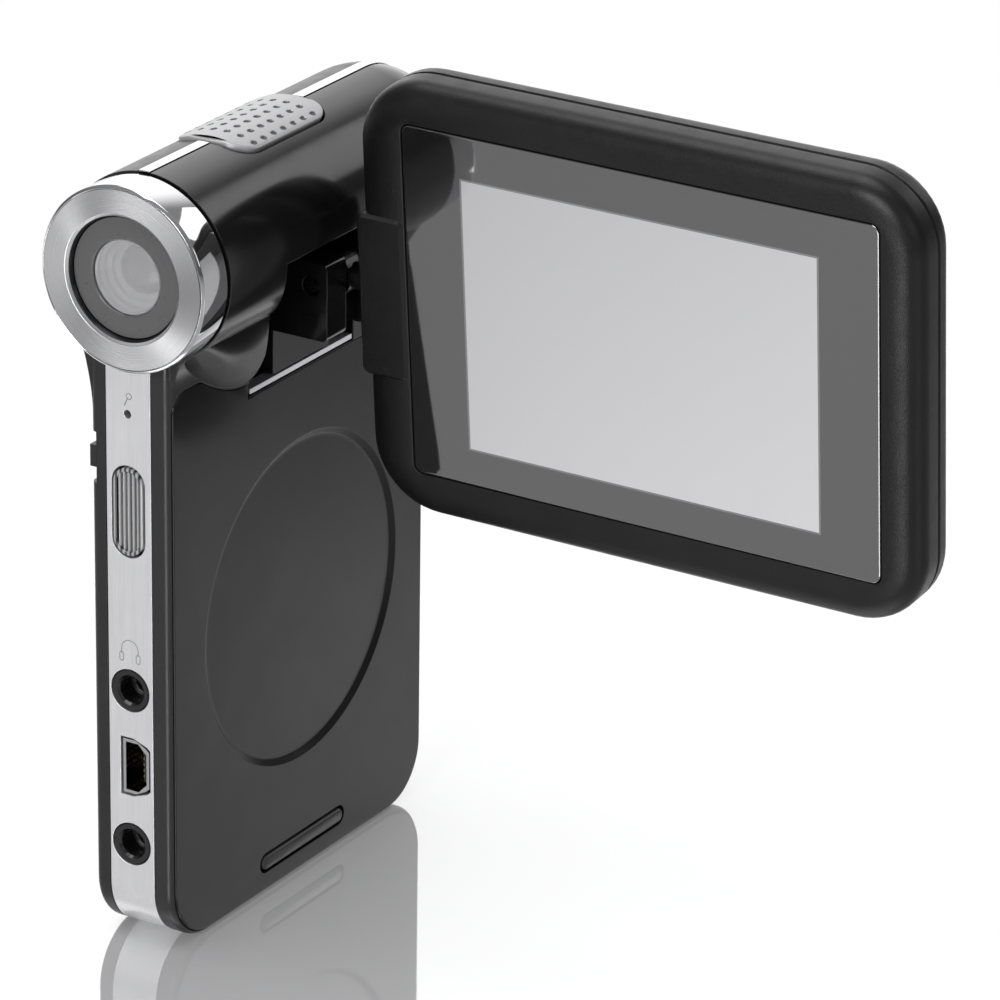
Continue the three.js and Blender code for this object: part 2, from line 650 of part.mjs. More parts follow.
function buildHinge() {
  add('hinge_plate', box(RECESS_X + 0.3, HX - 0.05, -11.7, 11.7, LEDGE_Z + 0.3, PLATE_Z), STEEL);
  add('hinge_base', hingeBase(), SOFT_BLACK);
  add('fold_pin', barY(FOLD_X, AXIS_Z, 1.05, -EAR_Y + 0.4, EAR_Y - 0.4, 24), STEEL);
  add('hinge_arm', hingeArm(), STEEL);
}

// ---- screen, in its own frame: X along the twist axis, Z across it, tilted about that axis ----
const screenX1 = SCREEN_X0 + SCREEN_L;
const screenOutline = (inset) => roundRect(SCREEN_X0 + inset, screenX1 - inset,
  -SCREEN_H / 2 + inset, SCREEN_H / 2 - inset, SCREEN_R - inset);
const blockNotch = () => box(0, GLASS_X0 - 0.2, -20, 20, -BLOCK_H / 2 - 0.25, BLOCK_H / 2 + 0.25);
const SEAM_Y = 0.7;
const FACE_Y = -SCREEN_T / 2;

function screenBezel(glassHole, displayHole) {
  const shell = plateY(screenOutline(0), FACE_Y, SCREEN_T, 2.0, 7)
    .intersect(box(0, 120, -9, SEAM_Y, -40, 40));
  const hollow = plateY(screenOutline(1.4), FACE_Y + 2.6, 12, 0, 8)
    .intersect(box(GLASS_X0 + 0.6, 120, -9, 9, -40, 40));
  return shell.subtract(hollow).subtract(glassHole).subtract(displayHole).subtract(blockNotch());
}

function screenBack() {
  const shell = plateY(screenOutline(0), FACE_Y, SCREEN_T, 1.7, 7)
    .intersect(box(0, 120, SEAM_Y + 0.2, 9, -40, 40));
  const hollow = plateY(screenOutline(1.4), FACE_Y, SCREEN_T - 1.3, 0, 8)
    .intersect(box(GLASS_X0 + 0.6, 120, -9, 9, -40, 40));
  return shell.subtract(hollow).subtract(blockNotch());
}

function hingeBlock() {
  const outline = roundRect(17.3, GLASS_X0 - 0.4, -BLOCK_H / 2, BLOCK_H / 2, 1.0);
  return plateY(outline, FACE_Y - 0.4, SCREEN_T + 0.6, 0.4, 5).subtract(barX(0, 0, 2.05, 10, 23.1, 28))
    .subtract(blockScrewHoles());
}

const BLOCK_SCREWS = [-7, 7];
const blockScrewHole = (z) => barY(20.4, z, 1.5, 3.3, 6, 16).add(barY(20.4, z, 0.9, -1, 6, 10));
const blockScrewHoles = () => BLOCK_SCREWS.map(blockScrewHole).reduce((all, one) => all.add(one));

function blockScrew(z) {
  const screw = barY(20.4, z, 1.3, 3.5, 4.2, 16).add(barY(20.4, z, 0.7, -0.6, 3.6, 10));
  return screw.subtract(box(19.5, 21.3, 3.9, 5, z - 0.18, z + 0.18))
    .subtract(box(20.22, 20.58, 3.9, 5, z - 0.9, z + 0.9));
}

function buildScreen() {
  const screen = new THREE.Group();
  screen.position.set(0, 0, AXIS_Z);
  screen.rotation.x = THREE.MathUtils.degToRad(SCREEN_TILT);
  model.add(screen);
  const half = GLASS_H / 2;
  const x1 = GLASS_X0 + GLASS_W;
  const low = GLASS_Z - half;
  const high = GLASS_Z + half;
  const glassHole = plateY(roundRect(GLASS_X0 - 0.2, x1 + 0.2, low - 0.2, high + 0.2, 1.4), -9, 6.15);
  const displayHole = box(GLASS_X0 + 3, x1 - 3, -9, 0, -half + 3, half - 3);
  add('screen_bezel', screenBezel(glassHole, displayHole), SOFT_BLACK, screen);
  add('screen_back', screenBack(), SOFT_BLACK, screen);
  const glass = plateY(roundRect(GLASS_X0, x1, low, high, 1.2), FACE_Y + 0.05, 0.9);
  add('screen_glass', glass, GLASS, screen);
  add('display_panel', box(GLASS_X0 + 5.5, x1 - 5, -2.2, -0.2, -20, 20), GREY, screen);
  add('screen_board', box(GLASS_X0 + 6, x1 - 6, 0.6, 1.6, -19, 19), BOARD, screen);
  add('hinge_block', hingeBlock(), SOFT_BLACK, screen);
  BLOCK_SCREWS.forEach((z, i) => add(`block_screw_${i + 1}`, blockScrew(z), STEEL, screen));
}

buildCasing();
buildPorts();
buildLens();
buildTop();
buildControls();
buildInside();
buildHinge();
buildScreen();

export default model;
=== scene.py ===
"""Pocket camcorder: the looks. Millimetres inside this script, metres in Blender."""
import math

import bmesh
import bpy
from mathutils import Matrix, Vector


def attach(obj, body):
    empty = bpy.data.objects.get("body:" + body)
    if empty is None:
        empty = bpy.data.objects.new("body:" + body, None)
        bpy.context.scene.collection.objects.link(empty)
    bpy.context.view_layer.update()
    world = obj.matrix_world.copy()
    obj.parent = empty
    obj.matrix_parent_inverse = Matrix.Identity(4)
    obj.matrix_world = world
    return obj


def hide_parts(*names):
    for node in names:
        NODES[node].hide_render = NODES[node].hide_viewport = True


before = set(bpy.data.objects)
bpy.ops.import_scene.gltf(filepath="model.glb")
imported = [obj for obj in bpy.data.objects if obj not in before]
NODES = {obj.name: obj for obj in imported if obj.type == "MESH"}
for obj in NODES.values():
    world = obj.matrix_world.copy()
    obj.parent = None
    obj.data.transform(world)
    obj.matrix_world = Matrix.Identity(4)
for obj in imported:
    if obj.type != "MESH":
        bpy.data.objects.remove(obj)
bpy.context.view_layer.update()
MM = 0.001

# ---- sizes shared by several pieces, in millimetres ----
BARREL_X, BARREL_Z, BARREL_R = 2.7, 92.0, 12.15
BARREL_FRONT, BARREL_REAR = -29.0, 28.4
DOME_LENGTH, DOME_DROP = 9.0, 6.5  # the barrel's back end rounds over along one and loses the other
HX, HY = 6.05, 29.4
LEDGE_Z, RECESS_X = 70.1, 3.9
STRIP_X0, STRIP_X1 = -3.5, 3.1
PORT_X = -0.3
LAMP_Z, AUDIO_Z, USB_Z, AV_Z, MIC_Z = 59.2, 35.0, 24.5, 13.8, 72.2
RIB_PITCH = 0.68
ROCKER_R = 12.6
DOOR = (-9.7, HY + 4, 9.8, 60.2, 2.2)
SHELL_SCREWS = ((-24.5, 8), (-24.5, 40.3), (-17.5, 70), (22.5, 68))
REAR_BUTTONS = {"power": 66, "menu": 24, "up": 46, "down": 36}
AXIS_Z = 84.3
TILT = math.radians(4.74)
SCREEN = (17.4, 95.8, -29.3, 29.3, 9.5)
GLASS = (24.4, 90.4, -23.13, 23.97, 1.2)
CAMERA_PLACE = (412.456, -622.099, 358.612)
PICTURE_MID = (57.4, 0.0)
PICTURE = (49.3, 36.2)


# ---- node helpers ----
class Nodes:
    """A short way to write a material's node tree."""

    def __init__(self, name):
        self.material = bpy.data.materials.new(name)
        self.material.use_nodes = True
        self.tree = self.material.node_tree
        self.shader = self.tree.nodes["Principled BSDF"]
        self.place = self.add("ShaderNodeTexCoord").outputs["Object"]

    def add(self, kind, **values):
        node = self.tree.nodes.new(kind)
        for key, value in values.items():
            setattr(node, key, value)
        return node

    def link(self, a, b):
        self.tree.links.new(a, b)

    def scaled(self, x, y=None, z=None):
        """Object coordinates times a number per axis, so 1000 gives millimetres."""
        node = self.add("ShaderNodeMapping")
        node.inputs["Scale"].default_value = (x, x if y is None else y, x if z is None else z)
        self.link(self.place, node.inputs["Vector"])
        return node.outputs[0]

    def noise(self, where, scale, detail=3.0, rough=0.55):
        node = self.add("ShaderNodeTexNoise")
        node.inputs["Scale"].default_value = scale
        node.inputs["Detail"].default_value = detail
        node.inputs["Roughness"].default_value = rough
        self.link(where, node.inputs["Vector"])
        return node.outputs["Fac"]

    def spread(self, value, low, high, from_low=0.3, from_high=0.7):
        """value, from its own range, to low..high."""
        node = self.add("ShaderNodeMapRange")
        node.inputs["From Min"].default_value = from_low
        node.inputs["From Max"].default_value = from_high
        node.inputs["To Min"].default_value = low
        node.inputs["To Max"].default_value = high
        self.link(value, node.inputs["Value"])
        return node.outputs[0]

    def math(self, operation, a, b=0.0):
        node = self.add("ShaderNodeMath", operation=operation)
        for socket, value in zip(node.inputs, (a, b)):
            if isinstance(value, (int, float)):
                socket.default_value = value
            else:
                self.link(value, socket)
        return node.outputs[0]

    def mix(self, factor, a, b):
        node = self.add("ShaderNodeMix", data_type="RGBA")
        for socket, value in ((node.inputs[0], factor), (node.inputs[6], a), (node.inputs[7], b)):
            if isinstance(value, (int, float)):
                socket.default_value = value
            elif isinstance(value, tuple):
                socket.default_value = value
            else:
                self.link(value, socket)
        return node.outputs[2]

    def bump(self, height, distance, strength=1.0, edge=0.0):
        """Relief from height; edge is the radius that sharp edges look rounded by, in millimetres."""
        node = self.add("ShaderNodeBump")
        if edge:
            round_edge = self.add("ShaderNodeBevel", samples=6)
            round_edge.inputs["Radius"].default_value = edge * MM
            self.link(round_edge.outputs[0], node.inputs["Normal"])
        node.inputs["Strength"].default_value = strength
        node.inputs["Distance"].default_value = distance
        self.link(height, node.inputs["Height"])
        self.link(node.outputs[0], self.shader.inputs["Normal"])

    def set(self, **values):
        for key, value in values.items():
            socket = self.shader.inputs[key.replace("_", " ")]
            if isinstance(value, (int, float, tuple)):
                socket.default_value = value
            else:
                self.link(value, socket)


def grey(v):
    return (v, v, v * 1.015, 1.0)


def gloss_black(name, tone=0.006, rough=(0.13, 0.2), coat=0.35, edge=0.0, shine=0.5):
    n = Nodes(name)
    mm = n.scaled(1000)
    smudge = n.noise(mm, 0.09, 4.0)
    n.set(Base_Color=n.mix(n.spread(smudge, 0, 1), grey(tone), grey(tone * 1.7)),
          Roughness=n.spread(n.noise(mm, 0.16, 5.0, 0.6), *rough),
          Coat_Weight=coat, Coat_Roughness=0.09, Specular_IOR_Level=shine)
    n.bump(n.noise(mm, 1.1, 2.0), 0.0000045, 0.5, edge)
    return n.material


def shell_black(name, tone=0.0045):
    """Smooth and glossy on the barrel, finely grained and satin on the grip below it."""
    n = Nodes(name)
    mm = n.scaled(1000)
    split = n.add("ShaderNodeSeparateXYZ")
    n.link(mm, split.inputs[0])
    below = n.spread(split.outputs[2], 1, 0, 77, 79)
    middle = n.math("LESS_THAN", n.math("ABSOLUTE", split.outputs[1]), 12.4)
    recess = n.math("MULTIPLY", middle, n.math("GREATER_THAN", split.outputs[2], 69.9))
    low = n.math("MULTIPLY", below, n.math("SUBTRACT", 1.0, recess))
    grain = n.noise(mm, 7.0, 2.0, 0.5)
    smooth = n.spread(n.noise(mm, 0.16, 5.0, 0.6), 0.15, 0.2)
    satin = n.spread(n.noise(mm, 0.5, 4.0), 0.34, 0.42)
    tint = n.spread(n.noise(mm, 0.09, 4.0), 0, 1)
    gloss_tone = n.mix(tint, grey(tone), grey(tone * 1.6))
    satin_tone = n.mix(grain, grey(0.008), grey(0.02))
    n.set(Base_Color=n.mix(low, gloss_tone, satin_tone),
          Roughness=n.math("ADD", n.math("MULTIPLY", low, satin),
                           n.math("MULTIPLY", n.math("SUBTRACT", 1.0, low), smooth)),
          Specular_IOR_Level=0.5, Coat_Weight=0.12, Coat_Roughness=0.1)
    ripple = n.math("MULTIPLY", n.noise(mm, 1.1, 2.0), 0.3)
    relief = n.math("ADD", ripple, n.math("MULTIPLY", grain, low))
    n.bump(relief, 0.000013, 0.5, 0.14)
    return n.material


def grained_black(name, tone=0.012, rough=(0.42, 0.5), grain=9.0, depth=0.00002, edge=0.0, shine=0.5):
    n = Nodes(name)
    mm = n.scaled(1000)
    speck = n.noise(mm, grain, 2.0, 0.5)
    tint = n.math("ADD", n.math("MULTIPLY", n.noise(mm, 0.12, 4.0), 0.7), n.math("MULTIPLY", speck, 0.3))
    n.set(Base_Color=n.mix(n.spread(tint, 0, 1, 0.35, 0.65), grey(tone * 0.75), grey(tone * 1.35)),
          Roughness=n.spread(n.noise(mm, 0.5, 4.0), *rough), Specular_IOR_Level=shine)
    n.bump(speck, depth, 0.55, edge)
    return n.material


def satin_silver(name, tone=0.62, rough=(0.24, 0.34), stretch=(6.0, 6.0, 0.12), edge=0.0, metal=0.92):
    n = Nodes(name)
    streak = n.noise(n.scaled(*[1000 * s for s in stretch]), 1.0, 4.0, 0.65)
    wide = n.noise(n.scaled(1000), 0.12, 3.0)
    shade = n.math("ADD", n.math("MULTIPLY", streak, 0.6), n.math("MULTIPLY", wide, 0.4))
    n.set(Base_Color=n.mix(n.spread(shade, 0, 1), grey(tone * 0.9), grey(tone * 1.06)), Metallic=metal,
          Roughness=n.spread(streak, *rough), Coat_Weight=0.15, Coat_Roughness=0.2)
    n.bump(streak, 0.000003, 0.4, edge)
    return n.material


def spun_metal_painted_sheen(name, tone=0.72, rough=(0.16, 0.27), anisotropic=0.85):
    """Metal turned on a lathe about its object's own Y axis: fine rings, a stretched highlight, and light and
    dark sectors painted into its colour by angle as a painted sheen.
    """
    n = Nodes(name)
    place = n.scaled(1000)
    split = n.add("ShaderNodeSeparateXYZ")
    n.link(place, split.inputs[0])
    x, _, z = split.outputs
    radius = n.math("SQRT", n.math("ADD", n.math("MULTIPLY", x, x), n.math("MULTIPLY", z, z)))
    rings = n.add("ShaderNodeTexNoise", noise_dimensions="1D")
    rings.inputs["Scale"].default_value = 9.0
    rings.inputs["Detail"].default_value = 5.0
    rings.inputs["Roughness"].default_value = 0.7
    n.link(radius, rings.inputs["W"])
    ring = rings.outputs["Fac"]
    # Painted sheen: three light and three dark sectors around the axis, painted into the colour by angle in
    # place of reflected light.
    turn = n.math("ARCTAN2", z, x)
    painted_sector = n.math("COSINE", n.math("MULTIPLY", n.math("SUBTRACT", turn, math.pi), 3.0))
    painted_sheen = n.mix(n.spread(painted_sector, 0, 1, -1.0, 1.0), grey(tone * 0.6), grey(tone * 1.08))
    n.set(Base_Color=n.mix(n.spread(ring, 0, 0.25), painted_sheen, grey(tone * 0.5)), Metallic=1.0,
          Roughness=n.spread(ring, *rough), Anisotropic=anisotropic)
    tangent = n.add("ShaderNodeTangent", direction_type="RADIAL", axis="Y")
    n.link(tangent.outputs[0], n.shader.inputs["Tangent"])
    n.bump(ring, 0.000003, 0.5)
    return n.material


def polished(name, tone=0.8, rough=(0.03, 0.07)):
    n = Nodes(name)
    mm = n.scaled(1000)
    n.set(Base_Color=n.mix(n.noise(mm, 0.3), grey(tone * 0.93), grey(tone)), Metallic=1.0,
          Roughness=n.spread(n.noise(mm, 0.6, 4.0), *rough))
    return n.material


def steel(name, tone=0.5):
    n = Nodes(name)
    mm = n.scaled(1000)
    n.set(Base_Color=n.mix(n.noise(mm, 1.5, 4.0), grey(tone * 0.8), grey(tone * 1.1)), Metallic=1.0,
          Roughness=n.spread(n.noise(mm, 3.0, 4.0), 0.22, 0.36))
    n.bump(n.noise(mm, 8.0, 3.0), 0.000004, 0.4)
    return n.material


def board(name):
    n = Nodes(name)
    mm = n.scaled(1000)
    patches = n.spread(n.noise(mm, 0.8, 5.0, 0.7), 0, 1, 0.45, 0.5)
    n.set(Base_Color=n.mix(patches, (0.008, 0.06, 0.03, 1), (0.02, 0.13, 0.06, 1)),
          Roughness=n.spread(n.noise(mm, 2.0), 0.3, 0.45))
    return n.material


def plain_plastic(name, tone, rough=(0.2, 0.3), coat=0.3):
    n = Nodes(name)
    mm = n.scaled(1000)
    n.set(Base_Color=n.mix(n.noise(mm, 0.3, 4.0), grey(tone * 0.92), grey(tone * 1.06)),
          Roughness=n.spread(n.noise(mm, 0.6, 4.0), *rough), Coat_Weight=coat, Coat_Roughness=0.05)
    return n.material


def clear_glass(name, tone=0.9, rough=0.0, ior=1.5, milky=0.0):
    n = Nodes(name)
    n.set(Base_Color=grey(tone), Transmission_Weight=1.0 - milky, IOR=ior,
          Roughness=n.spread(n.noise(n.scaled(1000), 0.5, 3.0), rough, rough + 0.02))
    return n.material


def coated_lens(name):
    n = Nodes(name)
    n.set(Base_Color=n.mix(n.noise(n.scaled(1000), 0.4), (0.03, 0.035, 0.05, 1), (0.05, 0.05, 0.075, 1)),
          Roughness=n.spread(n.noise(n.scaled(1000), 0.5), 0.01, 0.03), Coat_Weight=1.0, Coat_Roughness=0.0)
    return n.material


def screen_face(name):
    """One sheet of glass over a printed grey border and the display, which is a lighter grey; painted light
    makes both lighter towards the bottom and the edge away from the hinge.
    """
    n = Nodes(name)
    split = n.add("ShaderNodeSeparateXYZ")
    n.link(n.scaled(1000), split.inputs[0])
    x, _, z = split.outputs
    across = n.math("ABSOLUTE", n.math("SUBTRACT", x, PICTURE_MID[0]))
    up = n.math("ABSOLUTE", n.math("SUBTRACT", z, PICTURE_MID[1]))

    def inside(width, height):
        in_x = n.math("LESS_THAN", across, width / 2)
        return n.math("MULTIPLY", in_x, n.math("LESS_THAN", up, height / 2))

    # Painted light: the border and the display go from darker at the top near the hinge to lighter at the
    # bottom and the far edge.
    painted_light_slope = n.math("ADD", n.math("MULTIPLY", z, 0.6), n.math("MULTIPLY", x, -0.45))
    border_painted_shade = n.mix(n.spread(painted_light_slope, 0, 1, -50, 0), grey(0.02), grey(0.01))
    painted_light_fade = n.spread(n.math("ADD", painted_light_slope, n.math("MULTIPLY", x, 0.1)), 0, 1, -45, 5)
    painted_glow = n.mix(painted_light_fade, grey(0.78), grey(0.48))
    framed = n.mix(inside(PICTURE[0] + 0.5, PICTURE[1] + 0.5), border_painted_shade, grey(0.16))
    n.set(Base_Color=n.mix(inside(*PICTURE), framed, painted_glow), IOR=2.9,
          Roughness=n.spread(n.noise(n.scaled(1000), 0.1, 3.0), 0.03, 0.045))
    return n.material


def ribbed_clear(name):
    """Clear ribs with painted shade where they meet and a painted highlight along their backs."""
    n = Nodes(name)
    split = n.add("ShaderNodeSeparateXYZ")
    n.link(n.scaled(1000), split.inputs[0])
    across = n.math("SUBTRACT", split.outputs[0], PORT_X)
    # Painted shade in the grooves between the ribs and a painted highlight along each rib's crest, from a
    # cosine across the ribs.
    painted_rib_light = n.math("COSINE", n.math("MULTIPLY", across, 2 * math.pi / RIB_PITCH))
    tone = n.mix(n.spread(painted_rib_light, 0, 1, -0.7, 0.6), grey(0.03), grey(0.42))
    n.set(Base_Color=tone, Roughness=n.spread(n.noise(n.scaled(1000), 0.6), 0.1, 0.16),
          Coat_Weight=1.0, Coat_Roughness=0.03)
    return n.material


def gold(name):
    n = Nodes(name)
    mm = n.scaled(1000)
    n.set(Base_Color=n.mix(n.noise(mm, 1.0), (0.55, 0.38, 0.13, 1), (0.72, 0.52, 0.2, 1)), Metallic=1.0,
          Roughness=n.spread(n.noise(mm, 3.0), 0.2, 0.3))
    return n.material


MATERIAL = {
    "gloss": shell_black("gloss_black"),
    "panel": gloss_black("panel_black", 0.007, (0.19, 0.25), 0.0, shine=0.3),
    "pad": grained_black("pad_black", 0.035, (0.3, 0.4), 9.0, 0.00001),
    "dark_gloss": gloss_black("hinge_black", 0.005, (0.14, 0.2), 0.0, 0.1),
    "shell": grained_black("shell_black", 0.012, (0.32, 0.4), 7.0, 0.000012, 0.14),
    "soft": grained_black("soft_touch_black", 0.005, (0.33, 0.42), 5.0, 0.00004, 0.0, 0.35),
    "button": grained_black("button_black", 0.014, (0.35, 0.45), 9.0, 0.00001),
    "port": plain_plastic("port_black", 0.006, (0.2, 0.3)),
    "strip": satin_silver("satin_silver", 0.9, (0.32, 0.38), edge=0.12, metal=0.8),
    "silver": satin_silver("button_silver", 0.58, (0.3, 0.4), (3.0, 3.0, 3.0)),
    "spun": spun_metal_painted_sheen("spun_metal_painted_sheen", 0.92, (0.26, 0.34), 0.9),
    "rocker": satin_silver("rocker_silver", 0.42, (0.4, 0.48), (3.0, 3.0, 3.0), metal=0.55),
    # Painted shade: a dark copy of the rocker's silver that stands in for the shade inside its dimples.
    "painted_dimple_shade": satin_silver("rocker_dimple_painted_shade", 0.09, (0.45, 0.55), (3.0, 3.0, 3.0), metal=0.4),
    "polished": polished("polished_metal", 0.66),
    "lens_grey": plain_plastic("lens_grey", 0.1, (0.26, 0.34)),
    "baffle": plain_plastic("lens_baffle", 0.55, (0.3, 0.4)),
    "window": clear_glass("window_glass", 0.9, milky=0.26),
    "lens": coated_lens("coated_lens"),
    "lamp": ribbed_clear("lamp_clear"),
    "led": plain_plastic("led_pale", 0.5),
    "screen": screen_face("screen_glass_printed_painted_light"),
    "steel": steel("satin_steel"),
    "dark_steel": steel("blackened_steel", 0.05),
    "gold": gold("gold_contact"),
    "board": board("circuit_board"),
    "cell": plain_plastic("cell_wrap", 0.05),
    "mark": plain_plastic("printed_mark", 0.28),
}


# ---- mesh helpers ----
def smooth_by_angle(mesh, degrees=32):
    mesh.polygons.foreach_set("use_smooth", [True] * len(mesh.polygons))
    mesh.set_sharp_from_angle(angle=math.radians(degrees))


def piece(name, bm, material, body="camcorder", instead_of=(), origin=(0, 0, 0), screen=False,
          even=False):
    """Turns a bmesh in millimetres into a shown piece that rides on a body."""
    if screen:
        bmesh.ops.transform(bm, matrix=Matrix.Rotation(TILT, 4, "X"), verts=bm.verts)
        bmesh.ops.translate(bm, vec=Vector((0, 0, AXIS_Z)), verts=bm.verts)
    bmesh.ops.translate(bm, vec=-Vector(origin), verts=bm.verts)
    bmesh.ops.scale(bm, vec=Vector((MM, MM, MM)), verts=bm.verts)
    bmesh.ops.recalc_face_normals(bm, faces=bm.faces)
    mesh = bpy.data.meshes.new(name)
    bm.to_mesh(mesh)
    bm.free()
    smooth_by_angle(mesh)
    made = bpy.data.objects.new(name, mesh)
    bpy.context.scene.collection.objects.link(made)
    if even:
        made.modifiers.new("even_normals", "WEIGHTED_NORMAL").keep_sharp = True
    made.location = Vector(origin) * MM
    mesh.materials.append(MATERIAL[material])
    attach(made, body)
    if instead_of:
        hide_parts(*instead_of)
    return made


def rings(bm, loops, first_cap=True, last_cap=True):
    """Joins closed loops with equal numbers of points, one after another."""
    made = [[bm.verts.new(p) for p in loop] for loop in loops]
    for a, b in zip(made, made[1:]):
        for i in range(len(a)):
            j = (i + 1) % len(a)
            bm.faces.new((a[i], a[j], b[j], b[i]))
    if first_cap:
        bm.faces.new(made[0][::-1])
    if last_cap:
        bm.faces.new(made[-1])
    return made


def arc(cx, cy, r, start, steps):
    angles = [start + math.pi / 2 * i / steps for i in range(steps + 1)]
    return [(cx + r * math.cos(a), cy + r * math.sin(a)) for a in angles]


def rounded(x0, x1, y0, y1, r, steps=12):
    """A rounded rectangle, counter-clockwise from its bottom right corner."""
    r = max(r, 0.02)
    return (arc(x1 - r, y0 + r, r, -math.pi / 2, steps) + arc(x1 - r, y1 - r, r, 0, steps)
            + arc(x0 + r, y1 - r, r, math.pi / 2, steps) + arc(x0 + r, y0 + r, r, math.pi, steps))


def inset_rect(rect, d, steps=12):
    x0, x1, y0, y1, r = rect
    return rounded(x0 + d, x1 - d, y0 + d, y1 - d, r - d, steps)


def in_xz(points, y):
    return [(x, y, z) for x, z in points]


def turned(profile, sides=160):
    """A body of revolution about the barrel's axis from [radius, y]; a closed profile gives a tube."""
    bm = bmesh.new()
    loops = []
    for r, y in profile:
        loops.append([(x, y, z) for x, z in circle(BARREL_X, BARREL_Z, r, sides)])
    rings(bm, loops, profile[0] != profile[-1], profile[0] != profile[-1])
    bmesh.ops.remove_doubles(bm, verts=bm.verts, dist=1e-4)
    return bm


def rounded_step(points, r, steps=4):
    """Rounds each corner of an open profile by about r."""
    out = [points[0]]
    for a, b, c in zip(points, points[1:], points[2:]):
        a, b, c = Vector(a), Vector(b), Vector(c)
        cut = min(r, (a - b).length * 0.45, (c - b).length * 0.45)
        p, q = b + (a - b).normalized() * cut, b + (c - b).normalized() * cut
        for i in range(steps + 1):
            t = i / steps
            out.append(tuple(p * (1 - t) ** 2 + b * 2 * t * (1 - t) + q * t * t))
    return out + [points[-1]]


# ---- casing ----
def soften(name, material, width=0.12, angle=40, segments=2):
    """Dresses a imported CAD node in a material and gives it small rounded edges."""
    node = NODES[name]
    node.data.materials.clear()
    node.data.materials.append(MATERIAL[material])
    smooth_by_angle(node.data, 34)
    if width:
        bevel = node.modifiers.new("soft_edges", "BEVEL")
        bevel.width = width * MM
        bevel.segments = segments
        bevel.limit_method = "ANGLE"
        bevel.angle_limit = math.radians(angle)
        bevel.harden_normals = False
    weighted = node.modifiers.new("even_normals", "WEIGHTED_NORMAL")
    weighted.keep_sharp = True


def as_object(bm):
    bmesh.ops.recalc_face_normals(bm, faces=bm.faces)
    mesh = bpy.data.meshes.new("solid")
    bm.to_mesh(mesh)
    bm.free()
    made = bpy.data.objects.new("solid", mesh)
    bpy.context.scene.collection.objects.link(made)
    return made


def combine(base, others, operation="DIFFERENCE"):
    """base with each of the others cut away, joined on, or kept in common."""
    target = as_object(base)
    tools = [as_object(other) for other in others]
    for tool in tools:
        step = target.modifiers.new("step", "BOOLEAN")
        step.operation = operation
        step.object = tool
        step.solver = "EXACT"
    bpy.context.view_layer.update()
    result = bmesh.new()
    result.from_object(target, bpy.context.evaluated_depsgraph_get())
    for used in tools + [target]:
        mesh = used.data
        bpy.data.objects.remove(used)
        bpy.data.meshes.remove(mesh)
    return result


def prism(points, axis, low, high):
    """points pushed along an axis from low to high; they are in the other two axes, in X, Y, Z order."""
    bm = bmesh.new()
    place = {"X": lambda p, t: (t, *p), "Y": lambda p, t: (p[0], t, p[1]), "Z": lambda p, t: (*p, t)}[axis]
    rings(bm, [[place(p, t) for p in points] for t in (low, high)])
    return bm


def block(x0, x1, y0, y1, z0, z1):
    return prism([(x0, y0), (x1, y0), (x1, y1), (x0, y1)], "Z", z0, z1)


def bezier(a, b, c, d, steps):
    a, b, c, d = (Vector(p) for p in (a, b, c, d))
    made = []
    for i in range(steps):
        t = i / steps
        made.append(tuple(a * (1 - t) ** 3 + b * 3 * t * (1 - t) ** 2 + c * 3 * t * t * (1 - t) + d * t ** 3))
    return made


def housing():
    """The barrel, run into the grip on both sides, with a rounded back edge."""
    join, left = -1.02, BARREL_X - BARREL_R
    at = (BARREL_X + BARREL_R * math.cos(join), BARREL_Z + BARREL_R * math.sin(join))
    outline = [(HX, 70)] + bezier((HX, 76), (HX, 79.4), (at[0] - 1.4, at[1] - 0.9), at, 14)
    steps = 110
    for i in range(steps + 1):
        a = join + (math.pi - join) * i / steps
        outline.append((BARREL_X + BARREL_R * math.cos(a), BARREL_Z + BARREL_R * math.sin(a)))
    outline += bezier((left, BARREL_Z), (left, 83), (-HX, 78), (-HX, 70), 24)[1:] + [(-HX, 70)]
    loops = [[(x - math.copysign(inset * lowness(z), x), BARREL_FRONT + back, z) for x, z in outline]
             for back, inset in ((0.0, 0.45), (0.12, 0.27), (0.3, 0.13), (0.55, 0.04), (0.8, 0.0))]
    for i in range(15):
        y = BARREL_REAR - DOME_LENGTH * (1 - math.sin(math.pi / 2 * i / 14))
        drop = 1 - dome_scale(y)
        loop = []
        for x, z in outline:
            k = 1 - drop * (1 - lowness(z))
            loop.append((BARREL_X + k * (x - BARREL_X), y, BARREL_Z + k * (z - BARREL_Z)))
        loops.append(loop)
    bm = bmesh.new()
    rings(bm, loops)
    return bm


def lowness(z):
    return max(0.0, min(1.0, (84 - z) / 6))


def dome_scale(y):
    """The barrel's radius at y as a share of its full radius: the back end rounds over."""
    t = max(0.0, min(1.0, 1 - (BARREL_REAR - y) / DOME_LENGTH))
    return 1 - DOME_DROP / BARREL_R * (1 - math.sqrt(1 - t * t))


def cheek():
    bm = bmesh.new()
    loops = []
    for i in range(25):
        t = i / 24
        half = 4.6 + 8.3 * math.sin(t * math.pi / 2)
        loops.append([(3.5 + 6.5 * math.cos(a), -28.3 + 15.9 * t, 84.1 + half * math.sin(a))
                      for a in [2 * math.pi * j / 96 for j in range(96)]])
    rings(bm, loops)
    return bm


def grip_outline(d, top=80.0):
    """The grip's outline in (y, z), pulled in by d."""
    y, r = HY - d, 8 - d
    points = arc(y - r, d + r, r, -math.pi / 2, 20) + arc(y - 8, top - 8, 8, 0, 8) + [(-y, top)]
    return points + arc(-y + r, d + r, r, math.pi, 20)


